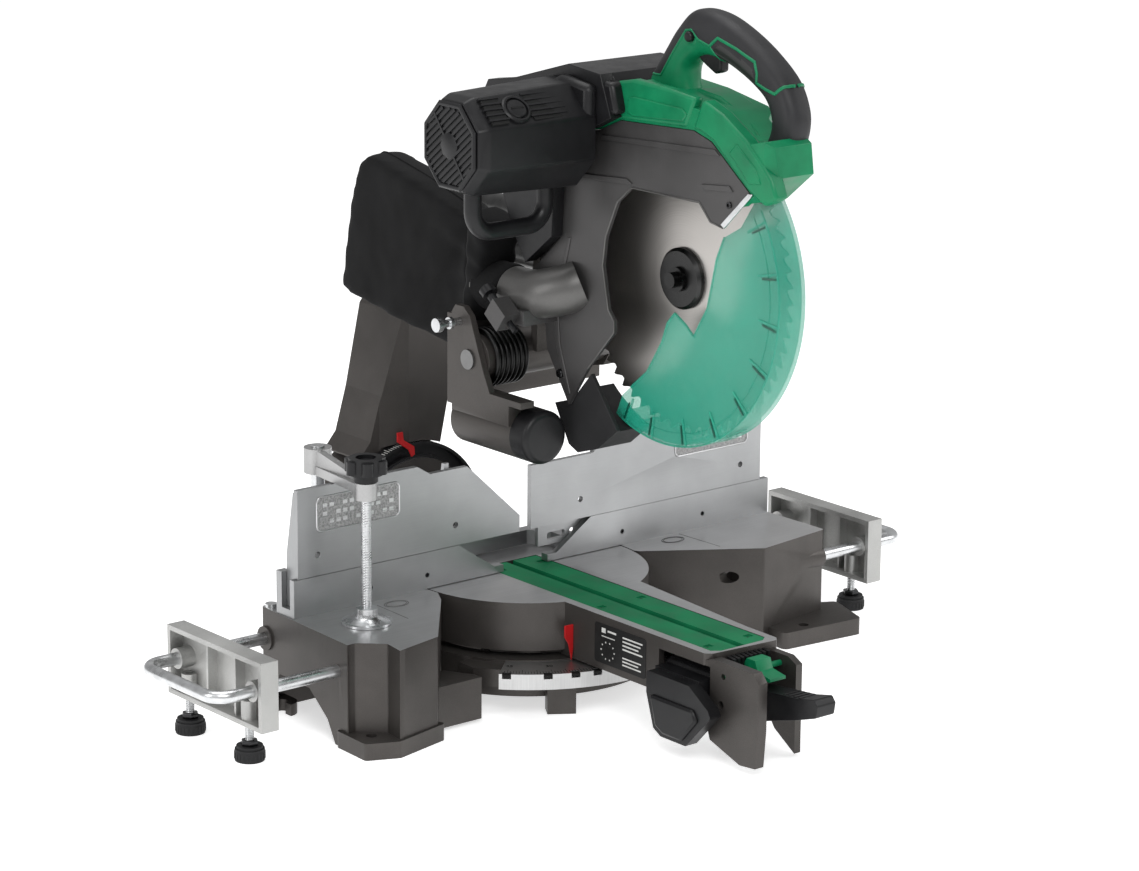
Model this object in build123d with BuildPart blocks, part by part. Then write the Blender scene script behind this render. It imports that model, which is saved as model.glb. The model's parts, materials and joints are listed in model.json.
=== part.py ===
"""Sliding compound mitre saw: every piece is a separate solid in its own file.

Frame: +Z up, +X to the saw's right, -Y towards the operator, millimetres.
Origin: on the bench, straight below the turntable's pivot, where the blade meets the fence face.
"""
import os
from math import cos, pi, radians, sin

from build123d import *

os.makedirs("parts", exist_ok=True)

# ---------------------------------------------------------------- driving sizes
TABLE_H = 107.0         # bench to table top
BLADE_R = 152.5         # saw blade radius
BLADE_T = 2.4
DISC_R = 126.0          # turntable disc
DISC_GAP = 1.6          # between disc and wings
DISC_DEPTH = 50.0
HUB_H = 40.0            # base hub under the turntable's pivot boss
WASHER_T = 2.0          # between the hub and the boss
WASHER_R = 22.0
LEFT_END = -292.0       # left end of wing and fence
RIGHT_END = 335.0       # right end of wing and fence
WING_REAR = 57.0        # rear edge of the wings
WALL = 7.0              # casting wall
BOLT_X = 284.0          # bench bolt pattern, half spacing along X
BOLT_FRONT = -116.0     # bench bolts, front row
BOLT_REAR = 34.0        # bench bolts, rear row
BOLT_R = 5.5
FENCE_H = 39.0
FENCE_WALL = 7.0
FENCE_DEPTH = 30.0
SUB_H = 130.0           # sub-fence top above the table
SUB_LOW_H = 107.0       # right sub-fence beside the blade
SLIDE_CLR = 0.4         # sliding clearance of the sub-fences
BAR_R = 6.3             # support bars
BAR_FRONT = -80.0
BAR_REAR = 48.0
BAR_DROP = 31.0         # bar axis below the table top
BAR_BORE = 150.0        # length bored for each bar
BAR_LEFT_IN = -240.0    # inner ends of the bars, pulled out
BAR_RIGHT_IN = 270.0
RUN_CLR = 0.05          # radial clearance of shafts and bars
PLATE_T = 20.0          # support plate
PLATE_DEPTH = 70.0
LEFT_PLATE = -398.0     # outer face of the left plate
RIGHT_PLATE = 416.0     # outer face of the right plate
FOOT_R = 14.5
FOOT_H = 14.0
STUD_R = 4.0
VISE_POST = (-232.0, 42.0)
VISE_SCREW = (-242.0, -52.0)
VISE_R = 5.0
POST_R = 7.0
ARM_FRONT = -334.0      # front end of the turntable arm's top
ARM_LEFT = -45.0
ARM_RIGHT = 43.0
ARM_DEPTH = 56.0
INSERT_W = 35.0         # half width of the kerf inserts
INSERT_T = 5.0
KERF = 9.0              # slot between the inserts
SCALE_R = 177.0         # mitre scale rim
SCALE_DROP = 58.0       # rim top below the table
SCALE_T = 16.0
SCALE_LEFT = 47.5       # rim ends, degrees either side of straight ahead
SCALE_RIGHT = 57.0
TRUNNION_R = 75.0
TRUNNION_FRONT = 190.0
NECK_W = 44.0           # half width of the neck behind the disc
TRUNNION_BACK = 206.0   # rear face of the trunnion and of the bevel scale
DRUM_R = 92.0
HOUSING_R = 88.0        # lower end of the tilting arm
COLUMN_FRONT = 190.0
COLUMN_BACK = 270.0
FACE_GAP = 0.4          # between faces that turn on each other
BEVEL_SHAFT_R = 16.0
PIVOT_R = 8.0
RAIL_X = 86.0
RAIL_LOW = 298.0        # rail heights above the table
RAIL_HIGH = 344.0
RAIL_R = 13.0
RAIL_FRONT = -78.0
HINGE_Y = -36.0         # head hinge, height above the table
HINGE_Z = 242.0
HINGE_R = 10.0
SLEEVE_R = 24.0
BLADE_Y = -240.0        # blade centre with the head raised and forward
BLADE_Z = 346.0
GUARD_R = 161.0
GUARD_LEFT = -24.0
GUARD_RIGHT = 8.0
GUARD_T = 2.5
COVER_X = -45.0         # outer face of the blade cover
COVER_T = 4.0
MOTOR_Y = -130.0
MOTOR_Z = 480.0
MOTOR_R = 45.0
MOTOR_LEFT = -200.0
MOTOR_RIGHT = -60.0
SHAFT_R = 6.0
FLANGE_R = 30.0
SPINDLE_R = 12.5
CASE_LEFT = 14.0        # gear case, right of the blade
CASE_RIGHT = 58.0
EAR_LEFT = -104.0       # carriage ear
EAR_T = 7.0
DUCT_X = -62.0
DUCT_Z = 310.0
DUCT_R = 24.0
CHOP = 53.0             # travel of the head, degrees

T = TABLE_H
Z_HINGE = T + HINGE_Z
Z_BLADE = T + BLADE_Z
Z_MOTOR = T + MOTOR_Z
Z_BAR = T - BAR_DROP


# ---------------------------------------------------------------- drawing helpers
def level(z):
    """Horizontal plane at height z."""
    return Plane.XY.offset(z)


def side(x):
    """Plane across X: local axes are Y and Z, extrusion goes to +X."""
    return Plane.YZ.offset(x)


def front(y):
    """Plane across Y: local axes are X and Z, extrusion goes to -Y."""
    return Plane(origin=(0, y, 0), x_dir=(1, 0, 0), z_dir=(0, -1, 0))


def prism(plane, points, depth, radius=0, mode=Mode.ADD):
    """Extrude the closed outline through points, its corners rounded by radius."""
    with BuildSketch(plane) as profile:
        with BuildLine():
            Polyline(*points, close=True)
        make_face()
        if radius:
            fillet(profile.vertices(), radius)
    return extrude(profile.sketch, amount=depth, mode=mode)


def rod(plane, u, v, radius, length, mode=Mode.ADD):
    """Extrude a circle centred at local (u, v)."""
    with BuildSketch(plane) as profile:
        with Locations((u, v)):
            Circle(radius)
    return extrude(profile.sketch, amount=length, mode=mode)


def tube(plane, u, v, outer, inner, length, mode=Mode.ADD):
    """Extrude a ring centred at local (u, v)."""
    with BuildSketch(plane) as profile:
        with Locations((u, v)):
            Circle(outer)
            Circle(inner, mode=Mode.SUBTRACT)
    return extrude(profile.sketch, amount=length, mode=mode)


def block(x0, x1, y0, y1, z0, z1, mode=Mode.ADD):
    """Box between two corners."""
    with BuildSketch(level(z0)) as profile:
        with Locations(((x0 + x1) / 2, (y0 + y1) / 2)):
            Rectangle(abs(x1 - x0), abs(y1 - y0))
    return extrude(profile.sketch, amount=z1 - z0, mode=mode)


def hull(plane, circles, depth, mode=Mode.ADD):
    """Extrude the hull of circles given as (u, v, radius)."""
    with BuildSketch(plane) as profile:
        for u, v, radius in circles:
            with Locations((u, v)):
                Circle(radius)
        make_hull()
    return extrude(profile.sketch, amount=depth, mode=mode)


def save(builder, name):
    """Label the finished piece and write its file."""
    builder.part.label = name
    export_step(builder.part, f"parts/{name}.step")
    solids = builder.part.solids()
    print(f"{name:24s} {len(solids)} solids {builder.part.volume / 1000:9.1f} cm3")


def turned(y, z, angle):
    """Point (y, z) turned about the head hinge by angle degrees, above the table."""
    dy, dz = y - HINGE_Y, z - HINGE_Z
    a = radians(angle)
    return HINGE_Y + dy * cos(a) - dz * sin(a), HINGE_Z + dy * sin(a) + dz * cos(a)


def lift(points):
    """Outline points given above the table, raised to the bench frame."""
    return [(u, v + T) for u, v in points]


# ---------------------------------------------------------------- base
POCKET = [(-300, -97.6), (-289, -97.5), (-266, -118.4), (-270, -146), (-312, -146)]
LEFT_WING = [(LEFT_END, WING_REAR), (LEFT_END - 7, -98), (-271, -143), (-214, -130), (-138, -36),
             (-118, 0), (-118, 34), (-150, WING_REAR)]
RIGHT_WING = [(RIGHT_END, WING_REAR), (RIGHT_END + 3, -87), (240, -101), (128, -28), (116, 0),
              (116, 34), (150, WING_REAR)]
SCALE_TOP = T - SCALE_DROP
BAR_GUIDE_R = BAR_R + 6
BAR_LOCKS = (LEFT_END + 6, RIGHT_END - 10)
FOOT_PAD_R = 15.0
FOOT_PAD_T = 12.0

with BuildPart() as base:
    for wing in (LEFT_WING, RIGHT_WING):
        prism(level(0), wing, T, 4)
        with BuildSketch(level(-1)) as inside:
            with BuildLine():
                Polyline(*wing, close=True)
            make_face()
            offset(amount=-WALL, kind=Kind.INTERSECTION)
            Circle(DISC_R + DISC_GAP + WALL, mode=Mode.SUBTRACT)
        extrude(inside.sketch, amount=T - 9 + 1, mode=Mode.SUBTRACT)
    # rounded pocket down the left front corner, with its own wall
    prism(level(0), [(-299, -97), (-282, -92), (-257, -114), (-262, -141), (-271, -143)], T)
    prism(level(17), POCKET, T, 5, mode=Mode.SUBTRACT)
    # feet at the front corners
    prism(level(0), [(-302, -83), (-304, -133), (-272, -147), (-205, -131), (-212, -112), (-272, -80)],
          17, 4)
    prism(level(0), [(250, -88), (247, -127), (349, -136), (369, -76), (340, -60), (330, -84)], 18, 6)
    # rear feet
    for x in (-BOLT_X, BOLT_X):
        rod(level(0), x, BOLT_REAR, FOOT_PAD_R, FOOT_PAD_T)
        block(x - FOOT_PAD_R, x + FOOT_PAD_R, BOLT_REAR, WING_REAR - 2, 0, FOOT_PAD_T)
    # arches under the outer ends and at the rear
    arch = [(-76, -1), (-62, 22), (-30, T - 62), (WING_REAR - WALL - 26, T - 62),
            (WING_REAR - WALL - 12, 14),
            (WING_REAR - WALL - 12, -1)]
    prism(side(LEFT_END - 20), arch, 20 + WALL + 1, mode=Mode.SUBTRACT)
    # ring, hub and ribs under the turntable disc
    rod(level(0), 0, 0, DISC_R + DISC_GAP, T + 1, mode=Mode.SUBTRACT)
    tube(level(12), 0, 0, DISC_R + DISC_GAP + WALL, DISC_R - 16, 38)
    rod(level(0), 0, 0, 30, HUB_H)
    with PolarLocations(0, 6, start_angle=30):
        with Locations((70, 0, 32)):
            Box(90, 9, 40)
    # flange that carries the scale, in front only, and its centre foot
    with BuildSketch(level(SCALE_TOP - SCALE_T - 4)) as flange:
        Circle(SCALE_R - 18)
        Circle(DISC_R - 8, mode=Mode.SUBTRACT)
        with Locations((0, -200)):
            Rectangle(270, 280, mode=Mode.INTERSECT)
    extrude(flange.sketch, amount=SCALE_T + 2.4)
    prism(level(0), [(-70, -118), (-46, -134), (-56, -150), (-80, -134)], SCALE_TOP - SCALE_T - 2)
    # small front corner block beside the left wing
    block(-205, -146, -112, -72, 4, 47)
    # support bar guides, through the outer walls
    for y in (BAR_FRONT, BAR_REAR):
        rod(side(LEFT_END - 3), y, Z_BAR, BAR_GUIDE_R, 44)
        rod(side(RIGHT_END - 40), y, Z_BAR, BAR_GUIDE_R, 42)
        rod(side(LEFT_END - 38), y, Z_BAR, BAR_R + RUN_CLR, BAR_BORE, mode=Mode.SUBTRACT)
        rod(side(RIGHT_END + 15 - BAR_BORE), y, Z_BAR, BAR_R + RUN_CLR, BAR_BORE, mode=Mode.SUBTRACT)
    for x in BAR_LOCKS:
        rod(level(Z_BAR), x, BAR_REAR, 3.2, T, mode=Mode.SUBTRACT)
    # vise post socket
    rod(level(T - 16), VISE_POST[0], VISE_POST[1], POST_R + 5, 16)
    rod(level(T - 14), VISE_POST[0], VISE_POST[1], POST_R + RUN_CLR, 20, mode=Mode.SUBTRACT)
    # bench bolt holes and the pivot bolt's blind hole
    with Locations((-BOLT_X, BOLT_FRONT, 0), (BOLT_X, BOLT_FRONT, 0), (-BOLT_X, BOLT_REAR, 0),
                   (BOLT_X, BOLT_REAR, 0)):
        Cylinder(BOLT_R, 60, mode=Mode.SUBTRACT)
    rod(level(16), 0, 0, PIVOT_R + RUN_CLR, 80, mode=Mode.SUBTRACT)

    # relief so that the scale rim drops over the flange
    tube(level(SCALE_TOP - SCALE_T - 0.3), 0, 0, SCALE_R + 0.5, SCALE_R - 17.7, SCALE_T + 1,
         mode=Mode.SUBTRACT)
save(base, "base_casting")

with BuildPart() as scale:
    start = -90 - SCALE_LEFT
    sweep_angle = SCALE_LEFT + SCALE_RIGHT
    wedge = [(0, 0)]
    for i in range(5):
        a = radians(start + sweep_angle * i / 4)
        wedge.append((400 * cos(a), 400 * sin(a)))
    with BuildSketch(level(SCALE_TOP - SCALE_T)) as rim:
        Circle(SCALE_R)
        Circle(SCALE_R - 17, mode=Mode.SUBTRACT)
        with BuildLine():
            Polyline(*wedge, close=True)
        make_face(mode=Mode.INTERSECT)
    extrude(rim.sketch, amount=SCALE_T)
    with BuildSketch(level(SCALE_TOP - 1.5)) as plate:
        Circle(SCALE_R - 16.5)
        Circle(DISC_R + DISC_GAP + WALL + 0.4, mode=Mode.SUBTRACT)
        with BuildLine():
            Polyline(*wedge, close=True)
        make_face(mode=Mode.INTERSECT)
    extrude(plate.sketch, amount=1.5)
    # detent notches in the rim
    for angle in (-45, -31.6, -22.5, -15, 0, 15, 22.5, 31.6, 45):
        with Locations(Location((0, 0, SCALE_TOP - 2), (0, 0, angle - 90))):
            with Locations((SCALE_R - 3, 0, 0)):
                Box(9, 9, 6, mode=Mode.SUBTRACT)
save(scale, "mitre_scale")

# ---------------------------------------------------------------- fixed fence and its bolts
CHANNEL = 14.0          # width of the sliding channel behind the front wall
LUG_H = 44.0
FENCE_ENDS = [(LEFT_END, -30, -88), (RIGHT_END, 28, 86)]
BOLT_SPOTS = [(LEFT_END + 30, 26), (-150, 26), (150, 26), (RIGHT_END - 30, 26)]

with BuildPart() as fence:
    for outer, low, high in FENCE_ENDS:
        prism(front(FENCE_WALL), [(outer, T), (low, T), (high, T + FENCE_H), (outer, T + FENCE_H)],
              FENCE_WALL)
        block(min(outer, low), max(outer, low), 0, FENCE_DEPTH, T, T + 8)
        rear = high
        block(min(outer, rear), max(outer, rear), FENCE_WALL + CHANNEL, FENCE_DEPTH, T, T + 28)
        lug = outer + (5 if outer < 0 else -5)
        block(lug - 5, lug + 5, FENCE_WALL + CHANNEL, FENCE_DEPTH, T, T + LUG_H)
    # arch that joins both halves behind the blade
    prism(level(T + 1.5), [(-84, 22), (84, 22), (84, 44), (60, 74), (-60, 74), (-84, 44)], 15)
    prism(level(T), [(-66, 10), (66, 10), (66, 42), (50, 62), (-50, 62), (-66, 42)], 20,
          mode=Mode.SUBTRACT)
    # relief over the turning disc
    rod(level(T - 1), 0, 0, DISC_R + DISC_GAP + 2, 1.6, mode=Mode.SUBTRACT)
    for x in (-198.5, -128, 129, 241):
        with Locations(Location((x, FENCE_WALL / 2, T + 15), (90, 0, 0))):
            Cylinder(2.6, 20, mode=Mode.SUBTRACT)
    for x, y in BOLT_SPOTS:
        with Locations((x, y, T + 10)):
            Cylinder(3.2, 60, mode=Mode.SUBTRACT)
save(fence, "fixed_fence")

with BuildPart() as bolts:
    for x, y in BOLT_SPOTS:
        rod(level(T + 28), x, y, 4.9, 6)
        rod(level(T + 0.2), x, y, 2.9, 30)
    for x in BAR_LOCKS:
        rod(level(Z_BAR + BAR_R + 0.3), x, BAR_REAR, 3, BAR_DROP - BAR_R)
        rod(level(T), x, BAR_REAR, 6, 4)
save(bolts, "base_bolts")

# ---------------------------------------------------------------- sliding sub-fences
FOOT_IN = FENCE_WALL + SLIDE_CLR
FOOT_OUT = FENCE_WALL + CHANNEL - SLIDE_CLR
SUB_BASE = T + FENCE_H + SLIDE_CLR

def sub_fence(outline, foot_x0, foot_x1, gussets, holes, recess):
    """Face plate standing on the fence, foot in the channel behind it, ribs between."""
    prism(front(6), lift(outline), 6)
    block(foot_x0, foot_x1, FOOT_IN, FOOT_OUT, T + 8.4, T + 60)
    block(foot_x0, foot_x1, 3, FOOT_IN + 2, SUB_BASE, T + 60)
    for x in gussets:
        prism(side(x - 3), [(5, T + 50), (FOOT_OUT, T + 50), (FOOT_OUT, T + 62), (9, T + SUB_H - 4),
                            (5, T + SUB_H - 4)], 6)
    for x, z in holes:
        with Locations(Location((x, 0, T + z), (90, 0, 0))):
            Cylinder(3.2, 90, mode=Mode.SUBTRACT)
    x0, x1, z0, z1 = recess
    prism(front(0.8), lift([(x0, z0), (x1, z0), (x1, z1), (x0, z1)]), 2, 4, mode=Mode.SUBTRACT)

SUB_FOOT = FENCE_H + SLIDE_CLR
with BuildPart() as sub_left:
    sub_fence([(-287, SUB_FOOT), (-9, SUB_FOOT), (-9, 57), (-77, 120), (-124, 120), (-140, SUB_H),
               (-287, SUB_H)],
              -286, -92, (-283, -150, -100), [(-263, 61), (-92, 61)], (-264, -163, 84, 119))
save(sub_left, "sub_fence_left")

with BuildPart() as sub_right:
    sub_fence([(5.5, SUB_FOOT), (323, SUB_FOOT), (323, SUB_H), (112, SUB_H), (88, SUB_LOW_H),
               (5.5, SUB_LOW_H)],
              92, 320, (317, 210, 120), [(71.5, 60), (294, 60.5)], (201, 303, 84, 119))
    # slotted tongue that guides the inner end
    block(21, 94, FOOT_IN, FOOT_IN + 5, T + 16, T + 50)
    block(21, 94, 3, FOOT_IN + 2, SUB_BASE, T + 50)
    for x in (45, 75):
        prism(front(30), lift([(x - 12, 21), (x + 12, 21), (x + 12, 29), (x - 12, 29)]), 30, 3,
              mode=Mode.SUBTRACT)
save(sub_right, "sub_fence_right")

# ---------------------------------------------------------------- pull-out work supports
BAR_BEND = 20.0
LEFT_TIP = LEFT_PLATE - 41
RIGHT_TIP = RIGHT_PLATE + 43

def support_bar(tip, inner):
    """Round bar bent to a U, closed at its outer end."""
    with BuildLine(level(Z_BAR)) as path:
        FilletPolyline((inner, BAR_FRONT), (tip, BAR_FRONT), (tip, BAR_REAR), (inner, BAR_REAR),
                       radius=BAR_BEND)
    with BuildSketch(side(inner)) as section:
        with Locations((BAR_FRONT, Z_BAR)):
            Circle(BAR_R)
    sweep(section.sketch, path=path.line)

def support_plate(x0):
    """Ribbed plate, open towards -X, with bosses for the bars and the feet."""
    y0, y1 = BAR_FRONT - 15, BAR_REAR + 17
    block(x0, x0 + PLATE_T, y0, y1, T - PLATE_DEPTH, T)
    block(x0 - 1, x0 + PLATE_T - 5, y0 + 5, y1 - 5, T - PLATE_DEPTH + 5, T - 5, mode=Mode.SUBTRACT)
    for y in (y0 + 50, y0 + 97):
        block(x0 + 4, x0 + PLATE_T - 3, y - 1.5, y + 1.5, T - PLATE_DEPTH + 3, T - 3)
    for y in (BAR_FRONT, BAR_REAR):
        rod(side(x0 - 1), y, Z_BAR, BAR_R + 4, PLATE_T - 1)
    for y in FOOT_Y:
        rod(level(T - PLATE_DEPTH), x0 + PLATE_T / 2, y, STUD_R + 4, 24)
    for y in (BAR_FRONT, BAR_REAR):
        rod(side(x0 - 5), y, Z_BAR, BAR_R + RUN_CLR, PLATE_T + 10, mode=Mode.SUBTRACT)
    for y in FOOT_Y:
        rod(level(T - PLATE_DEPTH - 1), x0 + PLATE_T / 2, y, STUD_R + RUN_CLR, 26, mode=Mode.SUBTRACT)

def screw_foot(x, y):
    """Rubber foot on a threaded stud, with a knurled collar."""
    rod(level(0), x, y, FOOT_R, FOOT_H - 2)
    rod(level(FOOT_H - 2), x, y, FOOT_R - 1.5, 3)
    rod(level(FOOT_H), x, y, STUD_R, T - PLATE_DEPTH - FOOT_H + 16)

FOOT_Y = (BAR_FRONT + 20, BAR_REAR - 6)
SIDES = (("left", LEFT_PLATE, LEFT_TIP, BAR_LEFT_IN), ("right", RIGHT_PLATE - PLATE_T, RIGHT_TIP,
                                                       BAR_RIGHT_IN))
for hand, x0, tip, inner in SIDES:
    with BuildPart() as bar:
        support_bar(tip, inner)
    save(bar, f"{hand}_support_bar")
    with BuildPart() as plate:
        support_plate(x0)
    save(plate, f"{hand}_support_plate")
    for end, y in zip(("front", "rear"), FOOT_Y):
        with BuildPart() as foot:
            screw_foot(x0 + PLATE_T / 2, y)
        save(foot, f"{hand}_{end}_foot")

# ---------------------------------------------------------------- vise
ARM_Z0 = T + SUB_H + 1.5
ARM_Z1 = T + 157
with BuildPart() as post:
    rod(level(T - 13.5), *VISE_POST, POST_R, 13.5 + ARM_Z1 - T + 2)
save(post, "vise_post")

with BuildPart() as vise_arm:
    px, py = VISE_POST
    sx, sy = VISE_SCREW
    rod(level(ARM_Z0), px, py, POST_R + 7, ARM_Z1 - ARM_Z0)
    rod(level(T + 126), sx, sy, VISE_R + 6, 17)
    hull(level(ARM_Z0), [(px, py, 9), (sx, sy, 8)], 9)
    prism(side((px + sx) / 2 - 4), [(py - 8, ARM_Z1), (py - 8, ARM_Z0), (sy + 8, ARM_Z0),
                                    (sy + 8, ARM_Z0 + 10)], 8)
    rod(level(T + 100), px, py, POST_R + 0.02, 100, mode=Mode.SUBTRACT)
    rod(level(T + 100), sx, sy, VISE_R + RUN_CLR, 100, mode=Mode.SUBTRACT)
save(vise_arm, "vise_arm")

with BuildPart() as vise_screw:
    rod(level(T + 4.5), *VISE_SCREW, VISE_R, 150)
save(vise_screw, "vise_screw")

with BuildPart() as vise_knob:
    kx, ky = VISE_SCREW
    rod(level(T + 144), kx, ky, 12, 8)
    rod(level(T + 151), kx, ky, 17, 17)
    with Locations((kx, ky, T + 159.5)):
        with PolarLocations(16, 6):
            Cylinder(6, 13)
    rod(level(T + 164), kx, ky, 10, 8, mode=Mode.SUBTRACT)
    rod(level(T + 140), kx, ky, VISE_R + 0.02, 14.55, mode=Mode.SUBTRACT)
save(vise_knob, "vise_knob")

with BuildPart() as vise_pad:
    kx, ky = VISE_SCREW
    with BuildSketch(Plane(origin=(kx, ky, T + 0.3), x_dir=(1, 0, 0), z_dir=(0, -1, 0))) as pad_profile:
        with BuildLine():
            Polyline((0, 0), (25, 0), (25, 2.5), (12, 5), (10, 14), (7, 16), (0, 16), close=True)
        make_face()
    revolve(pad_profile.sketch, axis=Axis((kx, ky, 0), (0, 0, 1)))
    rod(level(T + 4.3), kx, ky, VISE_R + RUN_CLR, 30, mode=Mode.SUBTRACT)
save(vise_pad, "vise_pad")

# ---------------------------------------------------------------- turntable
ARM_BOTTOM = T - ARM_DEPTH
ARM_PLAN = [(ARM_LEFT, -110), (ARM_LEFT, ARM_FRONT + 6), (ARM_LEFT + 6, ARM_FRONT),
            (ARM_RIGHT - 5, ARM_FRONT - 6),
            (ARM_RIGHT, ARM_FRONT), (ARM_RIGHT + 1, -288), (60, -108)]
CHEEK_LEFT = [(ARM_FRONT + 8, -8), (ARM_FRONT - 6, -3), (-397, -3), (-405, -12), (-405, -60), (-402, -97),
              (-380, -99), (-337, -85), (ARM_FRONT + 8, -54)]
CHEEK_RIGHT = [(ARM_FRONT + 8, -8), (-366, -8), (-378, -14), (-378, -104), (-349, -85.5),
               (ARM_FRONT + 8, -54)]
LEVER_Y = (-336, -262)
ROD_X, ROD_Z, ROD_R = -27.0, T - 32.0, 6.0
with BuildPart() as turntable:
    rod(level(T - DISC_DEPTH), 0, 0, DISC_R, DISC_DEPTH)
    rod(level(T - DISC_DEPTH - 1), 0, 0, DISC_R - WALL, DISC_DEPTH - 9 + 1, mode=Mode.SUBTRACT)
    prism(level(ARM_BOTTOM), ARM_PLAN, ARM_DEPTH, 3)
    inner = [(ARM_LEFT + WALL, -100), (ARM_LEFT + WALL, ARM_FRONT + 12), (ARM_RIGHT - 8, ARM_FRONT + 12),
             (ARM_RIGHT - 6, -288), (50, -100)]
    prism(level(ARM_BOTTOM - 1), inner, ARM_DEPTH - 12 + 1, mode=Mode.SUBTRACT)
    # pivot boss and its ribs
    boss_low = HUB_H + WASHER_T + 0.2
    tube(level(boss_low), 0, 0, 24, PIVOT_R + RUN_CLR, T - INSERT_T - boss_low)
    for x in (-18, 18):
        block(x - 4, x + 4, -300, 100, ARM_BOTTOM + 12, T - 10)
    # neck and trunnion behind the disc
    block(-NECK_W, NECK_W, 100, TRUNNION_FRONT + 1, T - DISC_DEPTH, T - 4)
    rod(front(TRUNNION_BACK), 0, T, TRUNNION_R, TRUNNION_BACK - TRUNNION_FRONT)
    # kerf recess and the slot the blade drops into
    prism(level(T - INSERT_T), [(-INSERT_W, 28), (-INSERT_W, ARM_FRONT + 8),
                                (-INSERT_W + 8, ARM_FRONT + 2),
                                (INSERT_W - 8, ARM_FRONT + 2), (INSERT_W, ARM_FRONT + 8), (INSERT_W,
                                        28)], 20,
          mode=Mode.SUBTRACT)
    block(-12, 12, ARM_FRONT + 22, 26, T - 46, T, mode=Mode.SUBTRACT)
    # front cheeks that hold the mitre handle
    prism(side(ARM_LEFT + 1), lift(CHEEK_LEFT), 11)
    prism(side(ARM_RIGHT - 14), lift(CHEEK_RIGHT), 8)
    # window for the bevel lock lever, bore for its rod
    block(ARM_LEFT - 5, ROD_X, LEVER_Y[0], LEVER_Y[1], T - 51, T - 12, mode=Mode.SUBTRACT)
    rod(front(LEVER_Y[1]), ROD_X, ROD_Z, 13, LEVER_Y[1] - LEVER_Y[0], mode=Mode.SUBTRACT)
    rod(front(TRUNNION_BACK + 5), ROD_X, ROD_Z, ROD_R + RUN_CLR, 560, mode=Mode.SUBTRACT)
    # bore for the bevel shaft
    rod(front(TRUNNION_BACK + 5), 0, T, BEVEL_SHAFT_R, 26, mode=Mode.SUBTRACT)
    # pin bores in the cheeks
    rod(side(ARM_LEFT - 5), -352, T - 46, 4, 100, mode=Mode.SUBTRACT)
    rod(side(ARM_LEFT - 5), -355, T - 17, 3, 100, mode=Mode.SUBTRACT)
save(turntable, "turntable_casting")

with BuildPart() as pivot:
    rod(level(17), 0, 0, PIVOT_R, 43.5)
    rod(level(HUB_H + 0.05), 0, 0, WASHER_R, WASHER_T)
save(pivot, "pivot_bolt")

# ---------------------------------------------------------------- turntable fittings
SCREWS = [(-26, 8), (-26, -152), (-26, -312), (26, 8), (26, -152), (26, -312)]
with BuildPart() as inserts:
    for s in (-1, 1):
        plan = [(s * KERF / 2, 27.7), (s * (INSERT_W - 0.3), 27.7),
                (s * (INSERT_W - 0.3), ARM_FRONT + 8.3),
                (s * (INSERT_W - 8), ARM_FRONT + 2.3), (s * KERF / 2, ARM_FRONT + 2.3)]
        prism(level(T - INSERT_T), plan, INSERT_T - 0.5)
    for x, y in SCREWS:
        with Locations((x, y, T)):
            Cylinder(2.2, 20, mode=Mode.SUBTRACT)
            Box(9, 7, 3.6, mode=Mode.SUBTRACT)
save(inserts, "kerf_inserts")

with BuildPart() as pointer:
    prism(front(-130), lift([(-56, -20), (ARM_LEFT - 0.2, -20), (ARM_LEFT - 0.2, -46), (-47, -57.5),
                             (-51, -40),
                             (-56, -32)]), 1.6)
save(pointer, "mitre_pointer")

PIN_Y, PIN_Z = -352.0, T - 46.0
with BuildPart() as mitre_handle:
    prism(side(-12), [(-345, T - 40), (-362, T - 33), (-425, T - 27), (-447, T - 22), (-452, T - 28),
                      (-450, T - 40), (-420, T - 50), (-385, T - 60), (-360, T - 68), (-344,
                              T - 60)], 24, 3)
    rod(side(ARM_LEFT + 5), PIN_Y, PIN_Z, 3.95, ARM_RIGHT - ARM_LEFT - 14)
save(mitre_handle, "mitre_handle")

with BuildPart() as detent:
    prism(side(-10), [(-345, T - 14), (-350, T - 6), (-362, T - 6), (-366, T - 16), (-384, T - 19),
                      (-384, T - 22), (-345, T - 28)], 20)
    rod(side(ARM_LEFT + 5), -355, T - 17, 2.95, ARM_RIGHT - ARM_LEFT - 14)
save(detent, "detent_lever")

# bevel scale: a segment standing above the table behind the fence
with BuildPart() as drum:
    with BuildSketch(front(TRUNNION_BACK)) as segment:
        with Locations((0, T)):
            Circle(DRUM_R)
            Circle(TRUNNION_R + 0.05, mode=Mode.SUBTRACT)
            with Locations((0, 62)):
                Rectangle(220, 100, mode=Mode.INTERSECT)
    extrude(segment.sketch, amount=14)
    with BuildSketch(front(TRUNNION_BACK - 8)) as rim_face:
        with Locations((0, T)):
            Circle(DRUM_R - 3)
            Circle(TRUNNION_R + 3, mode=Mode.SUBTRACT)
            with Locations((0, 62)):
                Rectangle(220, 100, mode=Mode.INTERSECT)
    extrude(rim_face.sketch, amount=10, mode=Mode.SUBTRACT)
save(drum, "bevel_scale")

with BuildPart() as bevel_shaft:
    rod(front(COLUMN_BACK + 14), 0, T, BEVEL_SHAFT_R, COLUMN_BACK + 14 - TRUNNION_BACK + 20.5)
    rod(front(COLUMN_BACK + 15 + FACE_GAP), 0, T, 26, 15)
save(bevel_shaft, "bevel_shaft")

with BuildPart() as rod_part:
    rod(front(TRUNNION_BACK - 4), ROD_X, ROD_Z, ROD_R, TRUNNION_BACK - 4 - LEVER_Y[0] + 8)
save(rod_part, "bevel_lock_rod")

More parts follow.
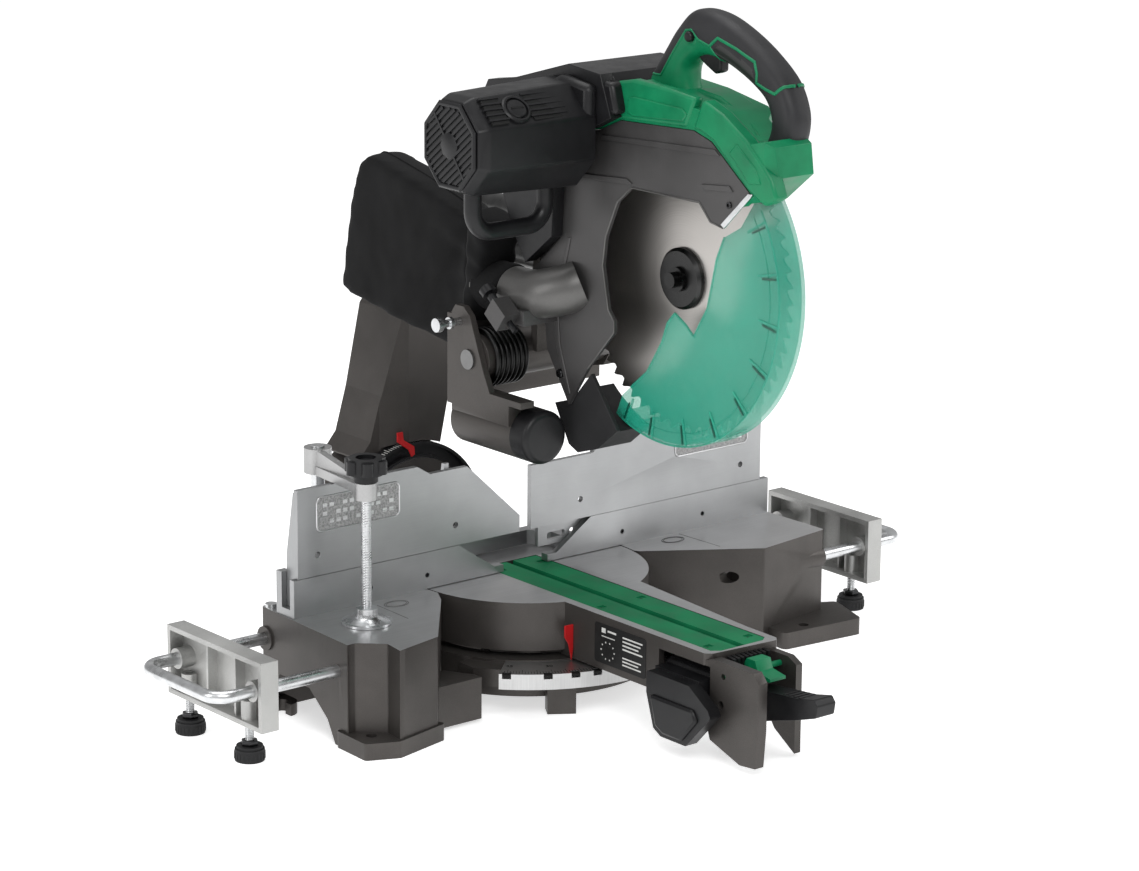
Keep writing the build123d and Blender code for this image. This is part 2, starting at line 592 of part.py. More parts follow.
with BuildPart() as lever:
    rod(front(LEVER_Y[1] - 3), ROD_X, ROD_Z, 12, LEVER_Y[1] - LEVER_Y[0] - 6)
    block(-54, ROD_X, LEVER_Y[0] + 5, LEVER_Y[1] - 5, T - 47, T - 26)
    prism(side(-66), lift([(-268, -28), (-268, -50), (-279, -84), (-290, -90), (-327, -90), (-362, -53),
                           (-358, -46), (-330, -28)]), 14, 3)
    rod(front(0), ROD_X, ROD_Z, ROD_R + 0.02, 400, mode=Mode.SUBTRACT)
save(lever, "bevel_lock_lever")

# ---------------------------------------------------------------- tilting arm
RAIL_TOP = RAIL_HIGH + RAIL_R + 7
COLUMN = [(-62, 78), (-46, 97), (-32, 145), (-13, 233), (10, 262), (RAIL_X - 22, 278),
          (RAIL_X - 22, RAIL_TOP - 8),
          (RAIL_X - 14, RAIL_TOP), (RAIL_X + 14, RAIL_TOP), (RAIL_X + 22, RAIL_TOP - 8), (RAIL_X + 22,
                  262),
          (47, 190), (46, 143), (31, 74)]
with BuildPart() as arm:
    prism(front(COLUMN_BACK), lift(COLUMN), COLUMN_BACK - COLUMN_FRONT, 2)
    # sloping front-left corner
    prism(level(T + 60), [(-70, 180), (-70, 207), (-34, 207), (-6, 189), (-6, 180)], 260,
          mode=Mode.SUBTRACT)
    # back of the head block
    block(RAIL_X - 40, RAIL_X + 40, COLUMN_BACK - 6, COLUMN_BACK + 5, T + 270, T + RAIL_TOP + 5,
          mode=Mode.SUBTRACT)
    # room for the bevel scale, then the housing that turns on the trunnion
    rod(front(TRUNNION_BACK + FACE_GAP), 0, T, DRUM_R + 2, 60, mode=Mode.SUBTRACT)
    rod(front(COLUMN_BACK), 0, T, HOUSING_R, COLUMN_BACK - TRUNNION_BACK - FACE_GAP)
    rod(front(COLUMN_BACK + 30), 0, T, BEVEL_SHAFT_R + RUN_CLR, 120, mode=Mode.SUBTRACT)
    # hollow back
    prism(front(COLUMN_BACK + 1), lift([(-26, 112), (-4, 228), (34, 228), (34, 112)]), 46,
          mode=Mode.SUBTRACT)
    for z in (RAIL_LOW, RAIL_HIGH):
        rod(front(COLUMN_BACK + 20), RAIL_X, T + z, RAIL_R, 120, mode=Mode.SUBTRACT)
save(arm, "tilting_arm")

RAIL_BACK = COLUMN_BACK - 7
with BuildPart() as rails:
    for z in (RAIL_LOW, RAIL_HIGH):
        rod(front(RAIL_BACK), RAIL_X, T + z, RAIL_R, RAIL_BACK - RAIL_FRONT)
save(rails, "slide_rails")

with BuildPart() as bevel_pointer:
    prism(front(COLUMN_FRONT), lift([(-24, 107), (-17, 107), (-16, 98), (-2, 89), (-1, 80), (-5, 78),
                                     (-9, 86), (-24, 97)]),
          1.6)
save(bevel_pointer, "bevel_pointer")

# ---------------------------------------------------------------- slide carriage
CAR_BACK = -2.0
CAR_FRONT = RAIL_FRONT + 2
EAR_RIGHT = CASE_RIGHT + 0.4
BEARING_R = RAIL_R + 4
BELLY = (-76.0, T + 175.0, 27.0)
with BuildPart() as carriage:
    # bearing housing on the rails
    block(RAIL_X - 20, RAIL_X + 21, CAR_FRONT, CAR_BACK, T + RAIL_LOW - 22, T + RAIL_HIGH + 21)
    # right cheek of the hinge
    prism(side(EAR_RIGHT), [(CAR_BACK, T + 300), (CAR_BACK, T + 205), (-50, T + 215), (-64, T + 236),
                            (-62, T + 300)],
          RAIL_X - 12 - EAR_RIGHT)
    # bridge behind the hinge
    block(EAR_LEFT, RAIL_X, -11.5, CAR_BACK, T + 192, T + 284)
    # left ear
    ear = [(-9, 200), (-9, 286), (-15, 294), (-28, 294), (-38, 286), (-60, 233), (-70, 214), (-70, 200)]
    prism(side(EAR_LEFT), lift(ear), EAR_T)
    # ledge that the depth stop lands on, and the rounded belly below it
    block(EAR_LEFT, EAR_LEFT + 17, -119, -9, T + 207, T + 213.5)
    block(EAR_LEFT, EAR_LEFT + 17, -100, -9, T + 186, T + 208)
    rod(front(CAR_BACK - 4), BELLY[0], BELLY[1], BELLY[2], 94)
    for x, length in ((EAR_LEFT - 1, EAR_T + 2), (EAR_RIGHT - 1, 60)):
        rod(side(x), HINGE_Y, Z_HINGE, HINGE_R, length, mode=Mode.SUBTRACT)
    rod(side(EAR_LEFT - 1), -22, T + 278, 4.05, EAR_T + 2, mode=Mode.SUBTRACT)
    # round relief for the sleeve and its spring
    rod(side(EAR_LEFT + EAR_T), HINGE_Y, Z_HINGE, SLEEVE_R + 8, EAR_RIGHT - EAR_LEFT - EAR_T,
        mode=Mode.SUBTRACT)
    for z in (RAIL_LOW, RAIL_HIGH):
        rod(front(CAR_BACK + 1), RAIL_X, T + z, BEARING_R, 200, mode=Mode.SUBTRACT)
save(carriage, "slide_carriage")

with BuildPart() as cap:
    with BuildSketch(front(CAR_BACK - 98.3)) as cap_face:
        with Locations((BELLY[0], BELLY[1])):
            Circle(BELLY[2])
    extrude(cap_face.sketch, amount=24)
    fillet(cap.faces().sort_by(Axis.Y)[0].edges(), 6)
save(cap, "carriage_cap")

with BuildPart() as bushes:
    for z in (RAIL_LOW, RAIL_HIGH):
        for y in (CAR_BACK - 0.5, CAR_FRONT + 24):
            tube(front(y), RAIL_X, T + z, BEARING_R, RAIL_R + RUN_CLR, 23)
save(bushes, "slide_bushes")

with BuildPart() as hinge_shaft:
    rod(side(EAR_LEFT - 2), HINGE_Y, Z_HINGE, HINGE_R, RAIL_X - 13 - EAR_LEFT)
save(hinge_shaft, "hinge_shaft")

SPRING_R = SLEEVE_R + 4
with BuildPart() as spring:
    for i in range(7):
        with Locations(Location((-88 + 5.9 * i, HINGE_Y, Z_HINGE), (0, 90, 0))):
            Torus(SPRING_R, 2.6)
save(spring, "return_spring")

with BuildPart() as lock_pin:
    rod(side(EAR_LEFT - 26), -22, T + 278, 3.99, 34)
    rod(side(EAR_LEFT - 30), -22, T + 278, 7, 6)
    rod(side(EAR_LEFT - 14), -22, T + 278, 6, 4)
save(lock_pin, "head_lock_pin")

with BuildPart() as slide_lock:
    rod(side(RAIL_X + 21.4), -40, T + 321, 4, 10)
    rod(side(RAIL_X + 28), -40, T + 321, 15, 14)
    with Locations(Location((RAIL_X + 35, -40, T + 321), (0, 90, 0))):
        with PolarLocations(15, 5):
            Cylinder(5, 14)
save(slide_lock, "slide_lock_knob")

# ---------------------------------------------------------------- head
SPINDLE = (BLADE_Y, Z_BLADE)
MOTOR = (MOTOR_Y, Z_MOTOR)
CASE_WALL = 5.0
with BuildPart() as case:
    outline = [(SPINDLE[0], SPINDLE[1], 38), (MOTOR[0], MOTOR[1], 32)]
    hull(side(CASE_LEFT), outline, CASE_RIGHT - CASE_LEFT)
    hull(side(CASE_LEFT), [(SPINDLE[0], SPINDLE[1], 34), (HINGE_Y, Z_HINGE, SLEEVE_R - 2)],
         CASE_RIGHT - CASE_LEFT)
    hull(side(CASE_LEFT + CASE_WALL), [(u, v, r - CASE_WALL - 2) for u, v, r in outline],
         CASE_RIGHT - CASE_LEFT - 2 * CASE_WALL, mode=Mode.SUBTRACT)
    # hinge sleeve
    rod(side(EAR_LEFT + EAR_T + 0.4), HINGE_Y, Z_HINGE, SLEEVE_R, CASE_RIGHT - EAR_LEFT - EAR_T - 0.4)
    rod(side(EAR_LEFT - 5), HINGE_Y, Z_HINGE, HINGE_R + RUN_CLR, 200, mode=Mode.SUBTRACT)
    # bearing bores
    rod(side(0), SPINDLE[0], SPINDLE[1], SPINDLE_R + RUN_CLR, CASE_RIGHT - 8, mode=Mode.SUBTRACT)
    rod(side(0), MOTOR[0], MOTOR[1], SHAFT_R + RUN_CLR, CASE_RIGHT - 8, mode=Mode.SUBTRACT)
    # web from the case round behind the blade to the cover
    prism(side(COVER_X + COVER_T + 0.2), [(-58, Z_HINGE + 4), (-54, Z_HINGE + 60), (-64, Z_HINGE + 130),
                                          (-72, Z_HINGE + 130),
                                          (-66, Z_HINGE + 60), (-66, Z_HINGE + 4)], CASE_LEFT - COVER_X)
save(case, "gear_case")

PULLEY_SMALL = 13.0
PULLEY_BIG = 26.0
BELT_X = CASE_LEFT + 17
with BuildPart() as belt:
    reach = [(MOTOR[0], MOTOR[1], PULLEY_SMALL), (SPINDLE[0], SPINDLE[1], PULLEY_BIG)]
    hull(side(BELT_X), [(u, v, r + 2.3) for u, v, r in reach], 14)
    hull(side(BELT_X - 1), [(u, v, r + 0.3) for u, v, r in reach], 16, mode=Mode.SUBTRACT)
save(belt, "drive_belt")

with BuildPart() as spindle:
    rod(side(2.4 + BLADE_T / 2), SPINDLE[0], SPINDLE[1], SPINDLE_R, CASE_RIGHT - 12 - 2.4)
    rod(side(BELT_X - 1), SPINDLE[0], SPINDLE[1], PULLEY_BIG, 16)
save(spindle, "spindle_pulley")

TEETH = 60
PITCH = 2 * pi / TEETH
TOOTH = [(0.0, 0.0), (0.12, -7.5), (0.35, -8.0), (0.6, -5.0), (0.8, -1.6)]
with BuildPart() as blade:
    outline_pts = []
    for i in range(TEETH):
        for share, drop in TOOTH:
            a = (i + share) * PITCH
            outline_pts.append((SPINDLE[0] + (BLADE_R + drop) * cos(a),
                                SPINDLE[1] + (BLADE_R + drop) * sin(a)))
    prism(side(-BLADE_T / 2), outline_pts, BLADE_T)
    rod(side(-5), SPINDLE[0], SPINDLE[1], 5, 10, mode=Mode.SUBTRACT)
save(blade, "saw_blade")

with BuildPart() as flanges:
    rod(side(-8.2), SPINDLE[0], SPINDLE[1], FLANGE_R, 7)
    chamfer(flanges.faces().sort_by(Axis.X)[0].edges(), 3)
    rod(side(BLADE_T / 2 + 0.02), SPINDLE[0], SPINDLE[1], FLANGE_R, 1.1)
    rod(side(-20), SPINDLE[0], SPINDLE[1], 5, 40, mode=Mode.SUBTRACT)
save(flanges, "blade_flanges")

with BuildPart() as blade_bolt:
    rod(side(-12.2), SPINDLE[0], SPINDLE[1], 12, 3.9)
    rod(side(-20), SPINDLE[0], SPINDLE[1], 7.5, 9)
    rod(side(-9), SPINDLE[0], SPINDLE[1], 4.95, 11.3)
save(blade_bolt, "blade_bolt")

# motor, left of the blade
with BuildPart() as motor:
    with BuildSketch(side(MOTOR_LEFT)) as octagon:
        with Locations(MOTOR):
            RegularPolygon(MOTOR_R, 8, rotation=22.5)
    extrude(octagon.sketch, amount=MOTOR_RIGHT - MOTOR_LEFT)
    chamfer(motor.faces().sort_by(Axis.X)[0].edges(), 5)
    rod(side(MOTOR_LEFT + 5), MOTOR[0], MOTOR[1], MOTOR_R - 9, MOTOR_RIGHT - MOTOR_LEFT - 10,
        mode=Mode.SUBTRACT)
    rod(side(MOTOR_RIGHT - 8), MOTOR[0], MOTOR[1], SHAFT_R + RUN_CLR, 20, mode=Mode.SUBTRACT)
    # cooling slots in the outer end
    with BuildSketch(side(MOTOR_LEFT - 1)) as slots:
        with Locations(MOTOR):
            with GridLocations(26, 7, 2, 8):
                SlotOverall(22, 3.4)
    extrude(slots.sketch, amount=8, mode=Mode.SUBTRACT)
save(motor, "motor_housing")

with BuildPart() as rotor:
    rod(side(MOTOR_LEFT + 8), MOTOR[0], MOTOR[1], SHAFT_R, CASE_RIGHT - 10 - MOTOR_LEFT - 8)
    rod(side(MOTOR_LEFT + 34), MOTOR[0], MOTOR[1], 25, 76)
    rod(side(MOTOR_LEFT + 14), MOTOR[0], MOTOR[1], 14, 16)
    rod(side(BELT_X - 1), MOTOR[0], MOTOR[1], PULLEY_SMALL, 16)
save(rotor, "motor_rotor")

BELT_COVER = [(-2, 500), (-10, 514), (-48, 520), (-134, 545), (-182, 541), (-198, 501), (-168, 487),
              (-116, 474),
              (-110, 372), (-70, 340), (-48, 372), (-18, 440)]
HUMP = [(-14, 512.5), (-48, 520), (-134, 545), (-182, 541), (-196, 519), (-130, 516), (-96, 512.5)]
with BuildPart() as belt_cover:
    prism(side(MOTOR_RIGHT + 0.2), lift(BELT_COVER), COVER_X - MOTOR_RIGHT - 0.6)
    prism(side(COVER_X - 0.4), lift(HUMP), CASE_RIGHT - COVER_X)
    rod(side(MOTOR_RIGHT), MOTOR[0], MOTOR[1], SHAFT_R + 1, 20, mode=Mode.SUBTRACT)
save(belt_cover, "belt_cover")

COVER_TOP = [(-165, 484), (-195, 497), (-300, 502), (-325, 495), (-380, 454)]
COVER = [(-118, 474)] + COVER_TOP + [
    (-343, 417), (-326, 420), (-310, 436), (-213, 435), (-192, 418), (-175, 381), (-171, 352), (-180,
            310),
    (-189, 300), (-189, 289), (-150, 246), (-121, 204), (-87, 254), (-82, 289), (-77, 315), (-54,
            322), (-106, 368)]
# the depth stop leans with the head; at the bottom of the stroke it stands on the carriage's ledge
STOP_X = EAR_LEFT + 8
STOP_R = 3.0
STOP_LEN = 58.0
STOP_LOW = (-106.0, 213.9)
LUG_LOW = [(-117, 226), (-95, 226), (-95, 250), (-117, 250)]
tip = turned(*STOP_LOW, -CHOP)
top = turned(STOP_LOW[0], STOP_LOW[1] + STOP_LEN, -CHOP)
lean = (0, (tip[0] - top[0]) / STOP_LEN, (tip[1] - top[1]) / STOP_LEN)
stop_axis = Plane(origin=(STOP_X, top[0], T + top[1]), x_dir=(1, 0, 0), z_dir=lean)

with BuildPart() as cover:
    prism(side(COVER_X), lift(COVER), COVER_T)
    # inner skirt that closes the rear of the blade space
    with BuildSketch(side(COVER_X + COVER_T)) as skirt:
        with Locations(SPINDLE):
            Circle(GUARD_R + 8)
            Circle(GUARD_R + 4, mode=Mode.SUBTRACT)
            with Locations((146, 20)):
                Rectangle(48, 210, mode=Mode.INTERSECT)
    extrude(skirt.sketch, amount=GUARD_RIGHT - COVER_X - COVER_T)
    with BuildSketch(side(COVER_X + COVER_T)) as screen:
        with Locations(SPINDLE):
            Circle(GUARD_R + 8)
            with Locations((146, 20)):
                Rectangle(48, 210, mode=Mode.INTERSECT)
    extrude(screen.sketch, amount=3)
    # lug for the depth stop
    prism(side(EAR_LEFT - 3), lift([turned(y, z, -CHOP) for y, z in LUG_LOW]), 20)
    block(EAR_LEFT + 16, COVER_X + 1, -103, -88.4, T + 285, T + 300)
    rod(stop_axis, 0, 0, STOP_R + RUN_CLR, STOP_LEN, mode=Mode.SUBTRACT)
    rod(side(COVER_X - 1), *MOTOR, SHAFT_R + 2, 20, mode=Mode.SUBTRACT)
save(cover, "blade_cover")

# green frame over the blade, the root of the D handle
FRAME = [(-119, 475)] + [(y, z + 0.3) for y, z in COVER_TOP] + [
    (-370, 441), (-408, 472), (-404, 500), (-396, 505), (-352, 494), (-318, 520), (-262, 530), (-206,
            535), (-160, 524),
    (-128, 512)]
with BuildPart() as frame:
    prism(side(COVER_X + 1), lift(FRAME), 76)
    # the nose is narrower than the hood behind it
    prism(level(T + 400), [(8, -420), (8, -366), (22, -330), (40, -318), (40, -420)], 140, mode=Mode.SUBTRACT)
    prism(level(T + 400), [(COVER_X, -396), (-24, -420), (COVER_X, -420)], 140, mode=Mode.SUBTRACT)
    rod(side(COVER_X + COVER_T + 4), SPINDLE[0], SPINDLE[1], GUARD_R + 4, GUARD_RIGHT - COVER_X,
        mode=Mode.SUBTRACT)
    hull(side(CASE_LEFT - 0.3), [(u, v, r + 0.3) for u, v, r in outline], 80, mode=Mode.SUBTRACT)
    rod(side(COVER_X - 1), *MOTOR, SHAFT_R + 2, 80, mode=Mode.SUBTRACT)
    prism(side(COVER_X - 5), lift([(-10, 540), (-199, 541), (-199, 519), (-130, 515.7), (-96, 512),
                                   (-10, 512)]), 130,
          mode=Mode.SUBTRACT)
save(frame, "handle_frame")

GRIP = [(-186, 536), (-212, 578), (-238, 602), (-262, 607), (-300, 603), (-350, 580), (-392, 543),
        (-411, 512),
        (-408, 500.3), (-396, 505.3), (-352, 494.3), (-350, 506), (-336, 530), (-314, 548), (-296,
                556), (-258, 556),
        (-248, 548), (-262, 530.3), (-206, 535.3)]
GRIP_W = 34.0
with BuildPart() as grip:
    prism(side(-GRIP_W / 2), lift(GRIP), GRIP_W)
    block(-5.5, 5.5, -293, -265, T + 550, T + 572, mode=Mode.SUBTRACT)
    rod(side(-GRIP_W / 2 - 1), -262, T + 583, 5.3, 13, mode=Mode.SUBTRACT)
save(grip, "handle_grip")

with BuildPart() as trigger:
    prism(side(-5), lift([(-292, 541), (-292, 564), (-266, 564), (-266, 548), (-276, 536)]), 10, 2)
save(trigger, "trigger")

with BuildPart() as lock_off:
    rod(side(-GRIP_W / 2 - 3), -262, T + 583, 5, 9)
save(lock_off, "lock_off_button")

with BuildPart() as carry:
    with BuildLine(front(MOTOR_Y)) as loop:
        FilletPolyline((-172, T + 432), (-172, T + 392), (-84, T + 392), (-84, T + 432), radius=22)
    with BuildSketch(level(T + 432)) as bar_face:
        with Locations((-172, MOTOR_Y)):
            Circle(8.5)
    sweep(bar_face.sketch, path=loop.line)
save(carry, "carry_handle")

with BuildPart() as duct:
    tube(front(-14), DUCT_X, T + DUCT_Z, DUCT_R, DUCT_R - 3, 74)
    block(COVER_X - 0.2, 0, -140, -45, T + 200, T + 400, mode=Mode.SUBTRACT)
save(duct, "dust_duct")

with BuildPart() as dust_guide:
    prism(side(COVER_X + COVER_T + 0.3), lift([(-121, 208), (-94, 200), (-116, 162), (-130, 156),
                                               (-160, 166), (-190, 190),
                                               (-150, 240)]), 44)
    rod(side(COVER_X + COVER_T + 5), SPINDLE[0], SPINDLE[1], GUARD_R + 4, 60, mode=Mode.SUBTRACT)
save(dust_guide, "dust_guide")

BAG = [(-8, 307), (34, 284), (42, 236), (100, 238), (236, 260), (212, 412), (200, 416), (42, 385),
       (-40, 360), (-44, 340)]
with BuildPart() as bag:
    prism(side(DUCT_X - 30), lift(BAG), 60, 5)
    rod(front(10), DUCT_X, T + DUCT_Z, DUCT_R + 0.5, 120, mode=Mode.SUBTRACT)
save(bag, "dust_bag")

# lower guard: two side plates and a rim that turn about the blade's axis
GUARD_FROM, GUARD_TO = 125.0, 296.0
GUARD_FACE = [(-365, 444), (-345, 415), (-322, 402), (-312, 380), (-300, 330), (-281, 299), (-268, 309),
              (-253, 317),
              (-243, 306), (-235, 285), (-214, 252), (-190, 232), (-178, 222), (-172, 208)]

def sector(radius, start, end, steps=8):
    """Wedge points about the blade centre."""
    points = [SPINDLE]
    for i in range(steps + 1):
        a = radians(start + (end - start) * i / steps)
        points.append((SPINDLE[0] + radius * cos(a), SPINDLE[1] + radius * sin(a)))
    return points

with BuildPart() as guard:
    for x in (GUARD_LEFT, GUARD_RIGHT - GUARD_T):
        with BuildSketch(side(x)) as face:
            with Locations(SPINDLE):
                Circle(GUARD_R)
            with BuildLine():
                Polyline(*lift(GUARD_FACE), *sector(GUARD_R * 1.4, GUARD_TO, GUARD_FROM)[1:], close=True)
            make_face(mode=Mode.INTERSECT)
        extrude(face.sketch, amount=GUARD_T)
    with BuildSketch(side(GUARD_LEFT)) as rim_band:
        with Locations(SPINDLE):
            Circle(GUARD_R)
            Circle(GUARD_R - GUARD_T, mode=Mode.SUBTRACT)
        with BuildLine():
            Polyline(*sector(GUARD_R * 1.4, GUARD_TO, GUARD_FROM), close=True)
        make_face(mode=Mode.INTERSECT)
    extrude(rim_band.sketch, amount=GUARD_RIGHT - GUARD_LEFT)
    # pivot ring on the right, round the spindle nose
    hull(side(GUARD_RIGHT - GUARD_T), [(SPINDLE[0], SPINDLE[1], 34), (-300, T + 330, 12)], GUARD_T)
    rod(side(GUARD_LEFT + 5), SPINDLE[0], SPINDLE[1], FLANGE_R + 1, 60, mode=Mode.SUBTRACT)
save(guard, "lower_guard")

with BuildPart() as depth_stop:
    rod(stop_axis, 0, 0, STOP_R, STOP_LEN)
    rod(stop_axis, 0, 0, 8, 8)
    rod(stop_axis.offset(10), 0, 0, 4.5, 8)
save(depth_stop, "depth_stop_bolt")
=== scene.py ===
"""Looks of a sliding compound mitre saw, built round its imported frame.

X runs to the right, Y to the rear and Z up, in metres. Outlines are in millimetres, with their
heights measured from the table top.
"""
import json
import math

import bmesh
import bpy
from mathutils import Matrix, Vector, noise


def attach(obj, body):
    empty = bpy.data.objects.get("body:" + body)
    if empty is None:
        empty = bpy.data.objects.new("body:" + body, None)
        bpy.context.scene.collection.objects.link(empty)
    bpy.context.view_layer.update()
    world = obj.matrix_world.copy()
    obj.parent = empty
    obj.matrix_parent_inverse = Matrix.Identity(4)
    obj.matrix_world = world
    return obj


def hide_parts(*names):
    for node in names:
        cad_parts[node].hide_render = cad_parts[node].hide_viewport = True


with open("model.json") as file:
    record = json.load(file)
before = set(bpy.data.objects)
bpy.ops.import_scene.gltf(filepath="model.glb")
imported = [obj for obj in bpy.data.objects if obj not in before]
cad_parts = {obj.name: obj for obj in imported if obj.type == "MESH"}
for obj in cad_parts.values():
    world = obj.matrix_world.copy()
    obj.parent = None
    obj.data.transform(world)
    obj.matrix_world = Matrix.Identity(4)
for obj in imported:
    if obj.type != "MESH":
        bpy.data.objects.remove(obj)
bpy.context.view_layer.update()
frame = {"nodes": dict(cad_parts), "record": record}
MM = 0.001
TABLE = 0.107                             # height of the table over the floor
FLOOR = -107                              # the floor as a height from the table, in mm
BLADE = Vector((0, -0.240, TABLE + 0.346))
MOTOR_Y, MOTOR_Z = -130, 480              # axis of the motor


# ---------------------------------------------------------------- materials
def grade(colour, factor):
    return tuple(min(1.0, c * factor) for c in colour)


class Nodes:
    """Short way to write a node tree."""

    def __init__(self, name):
        self.mat = bpy.data.materials.new(name)
        self.mat.use_nodes = True
        self.tree = self.mat.node_tree
        self.shader = self.tree.nodes["Principled BSDF"]
        self.coord = self.tree.nodes.new("ShaderNodeTexCoord").outputs["Object"]

    def put(self, socket, value):
        """Link a socket, or set it when the value is plain."""
        if isinstance(value, bpy.types.NodeSocket):
            self.tree.links.new(value, socket)
        else:
            socket.default_value = value

    def add(self, kind, **inputs):
        node = self.tree.nodes.new("ShaderNode" + kind)
        for key, value in inputs.items():
            self.put(node.inputs[key.replace("_", " ")], value)
        return node

    def set(self, **inputs):
        for key, value in inputs.items():
            self.put(self.shader.inputs[key.replace("_", " ")], value)

    def scaled(self, scale, rotation=(0, 0, 0)):
        node = self.add("Mapping", Vector=self.coord, Scale=scale, Rotation=rotation)
        return node.outputs["Vector"]

    def noise(self, scale, detail=4.0, rough=0.55, vector=None):
        node = self.add("TexNoise", Vector=vector or self.coord, Scale=scale, Detail=detail,
                        Roughness=rough)
        return node.outputs["Fac"]

    def math(self, kind, a, b=0.0, clamp=False):
        node = self.tree.nodes.new("ShaderNodeMath")
        node.operation = kind
        node.use_clamp = clamp
        self.put(node.inputs[0], a)
        self.put(node.inputs[1], b)
        return node.outputs[0]

    def blend(self, a, b, share=0.5):
        """Weighted sum of two values."""
        return self.math("ADD", self.math("MULTIPLY", a, share), self.math("MULTIPLY", b, 1 - share))

    def ramp(self, fac, stops):
        node = self.add("ValToRGB", Fac=fac)
        for end, (place, colour) in zip(node.color_ramp.elements, stops):
            end.position = place
            end.color = (*colour, 1)
        return node.outputs["Color"]

    def shades(self, fac, colour, dark, light, start=0.35):
        """A colour that varies between two factors of itself."""
        return self.ramp(fac, [(start, grade(colour, dark)), (1 - start, grade(colour, light))])

    def between(self, fac, low, high):
        """A plain value that varies from low to high."""
        return self.ramp(fac, [(0.3, (low,) * 3), (0.7, (high,) * 3)])

    def bump(self, height, strength, distance):
        node = self.add("Bump", Height=height, Strength=strength, Distance=distance)
        self.tree.links.new(node.outputs["Normal"], self.shader.inputs["Normal"])


def paint_shades(n, colour):
    """Flakes and clouds of a metallic paint, with the clouds themselves."""
    cloud = n.noise(14, 3.0)
    return n.shades(n.blend(n.noise(2600, 2.0), cloud, 0.6), colour, 0.72, 1.32, 0.36), cloud


def cast_paint(name, colour, rough=0.4, metallic=0.55, grain=900, depth=0.00012):
    """Metallic powder coat on a sand casting, with a fine orange peel."""
    n = Nodes(name)
    base, cloud = paint_shades(n, colour)
    n.set(Base_Color=base, Metallic=metallic, Roughness=n.between(cloud, rough - 0.05, rough + 0.08))
    n.bump(n.noise(grain, 3.0), 0.35, depth)
    return n.mat


def plastic(name, colour, rough=0.42, grain=1400, depth=0.00008):
    n = Nodes(name)
    n.set(Base_Color=n.shades(n.noise(30, 4.0), colour, 0.8, 1.2, 0.3),
          Roughness=n.between(n.noise(60), rough - 0.06, rough + 0.07), Specular_IOR_Level=0.32)
    n.bump(n.noise(grain, 2.0), 0.3, depth)
    return n.mat


def brushed(name, colour, rough=0.3, stretch=(3, 400, 400), tone=0.14):
    """Machined metal with fine lines along one axis and slight stains."""
    n = Nodes(name)
    lines = n.noise(6.0, 5.0, 0.6, n.scaled(stretch))
    n.set(Base_Color=n.shades(n.blend(lines, n.noise(18, 5.0)), colour, 1 - tone, 1 + tone),
          Metallic=1.0, Roughness=n.between(lines, rough - 0.07, rough + 0.1))
    n.bump(lines, 0.15, 0.00008)
    return n.mat


def zinc(name, colour=(0.62, 0.63, 0.64), rough=0.26):
    n = Nodes(name)
    spots = n.noise(70, 5.0)
    n.set(Base_Color=n.shades(spots, colour, 0.82, 1.12), Metallic=1.0,
          Roughness=n.between(spots, rough - 0.06, rough + 0.12))
    n.bump(n.noise(900, 2.0), 0.12, 0.00006)
    return n.mat


def steel_disc(name, centre, colour):
    """Ground steel with rings round the arbor and a soft sheen band."""
    n = Nodes(name)
    moved = n.add("Mapping", Vector=n.coord, Location=tuple(-c for c in centre))
    split = n.add("SeparateXYZ", Vector=moved.outputs["Vector"])
    squares = [n.math("POWER", split.outputs[axis], 2.0) for axis in "YZ"]
    radius = n.math("SQRT", n.math("ADD", *squares))
    rings = n.noise(900, 3.0, 0.6, n.add("CombineXYZ", X=radius).outputs["Vector"])
    n.set(Base_Color=n.shades(n.blend(rings, n.noise(9, 2.0)), colour, 0.85, 1.15), Metallic=1.0,
          Roughness=n.between(rings, 0.27, 0.42), Anisotropic=0.6)
    n.bump(rings, 0.12, 0.00006)
    return n.mat


def fabric(name, colour):
    """Woven cloth, with threads along each axis."""
    n = Nodes(name)
    weave = 0.0
    for share, turn in ((0.33, (0, math.pi / 2, 0)), (0.33, (0, 0, math.pi / 2)), (0.34, (0, 0, 0))):
        wave = n.add("TexWave", Vector=n.scaled((1, 1, 1), turn), Scale=420.0)
        weave = n.math("ADD", n.math("MULTIPLY", wave.outputs["Fac"], share), weave)
    n.set(Base_Color=n.shades(n.noise(25, 5.0), colour, 0.7, 1.35, 0.3), Roughness=0.85,
          Sheen_Weight=0.04, Sheen_Roughness=0.4, Specular_IOR_Level=0.2)
    n.bump(n.blend(weave, n.noise(120, 5.0), 0.6), 0.5, 0.0003)
    return n.mat


def tinted(name, colour, alpha=0.5):
    """Clear tinted moulding."""
    n = Nodes(name)
    cloud = n.noise(20, 3.0)
    n.set(Base_Color=n.shades(cloud, colour, 0.92, 1.08, 0.3), Roughness=n.between(cloud, 0.22, 0.3),
          Alpha=alpha)
    n.bump(n.noise(60, 2.0), 0.05, 0.0001)
    return n.mat


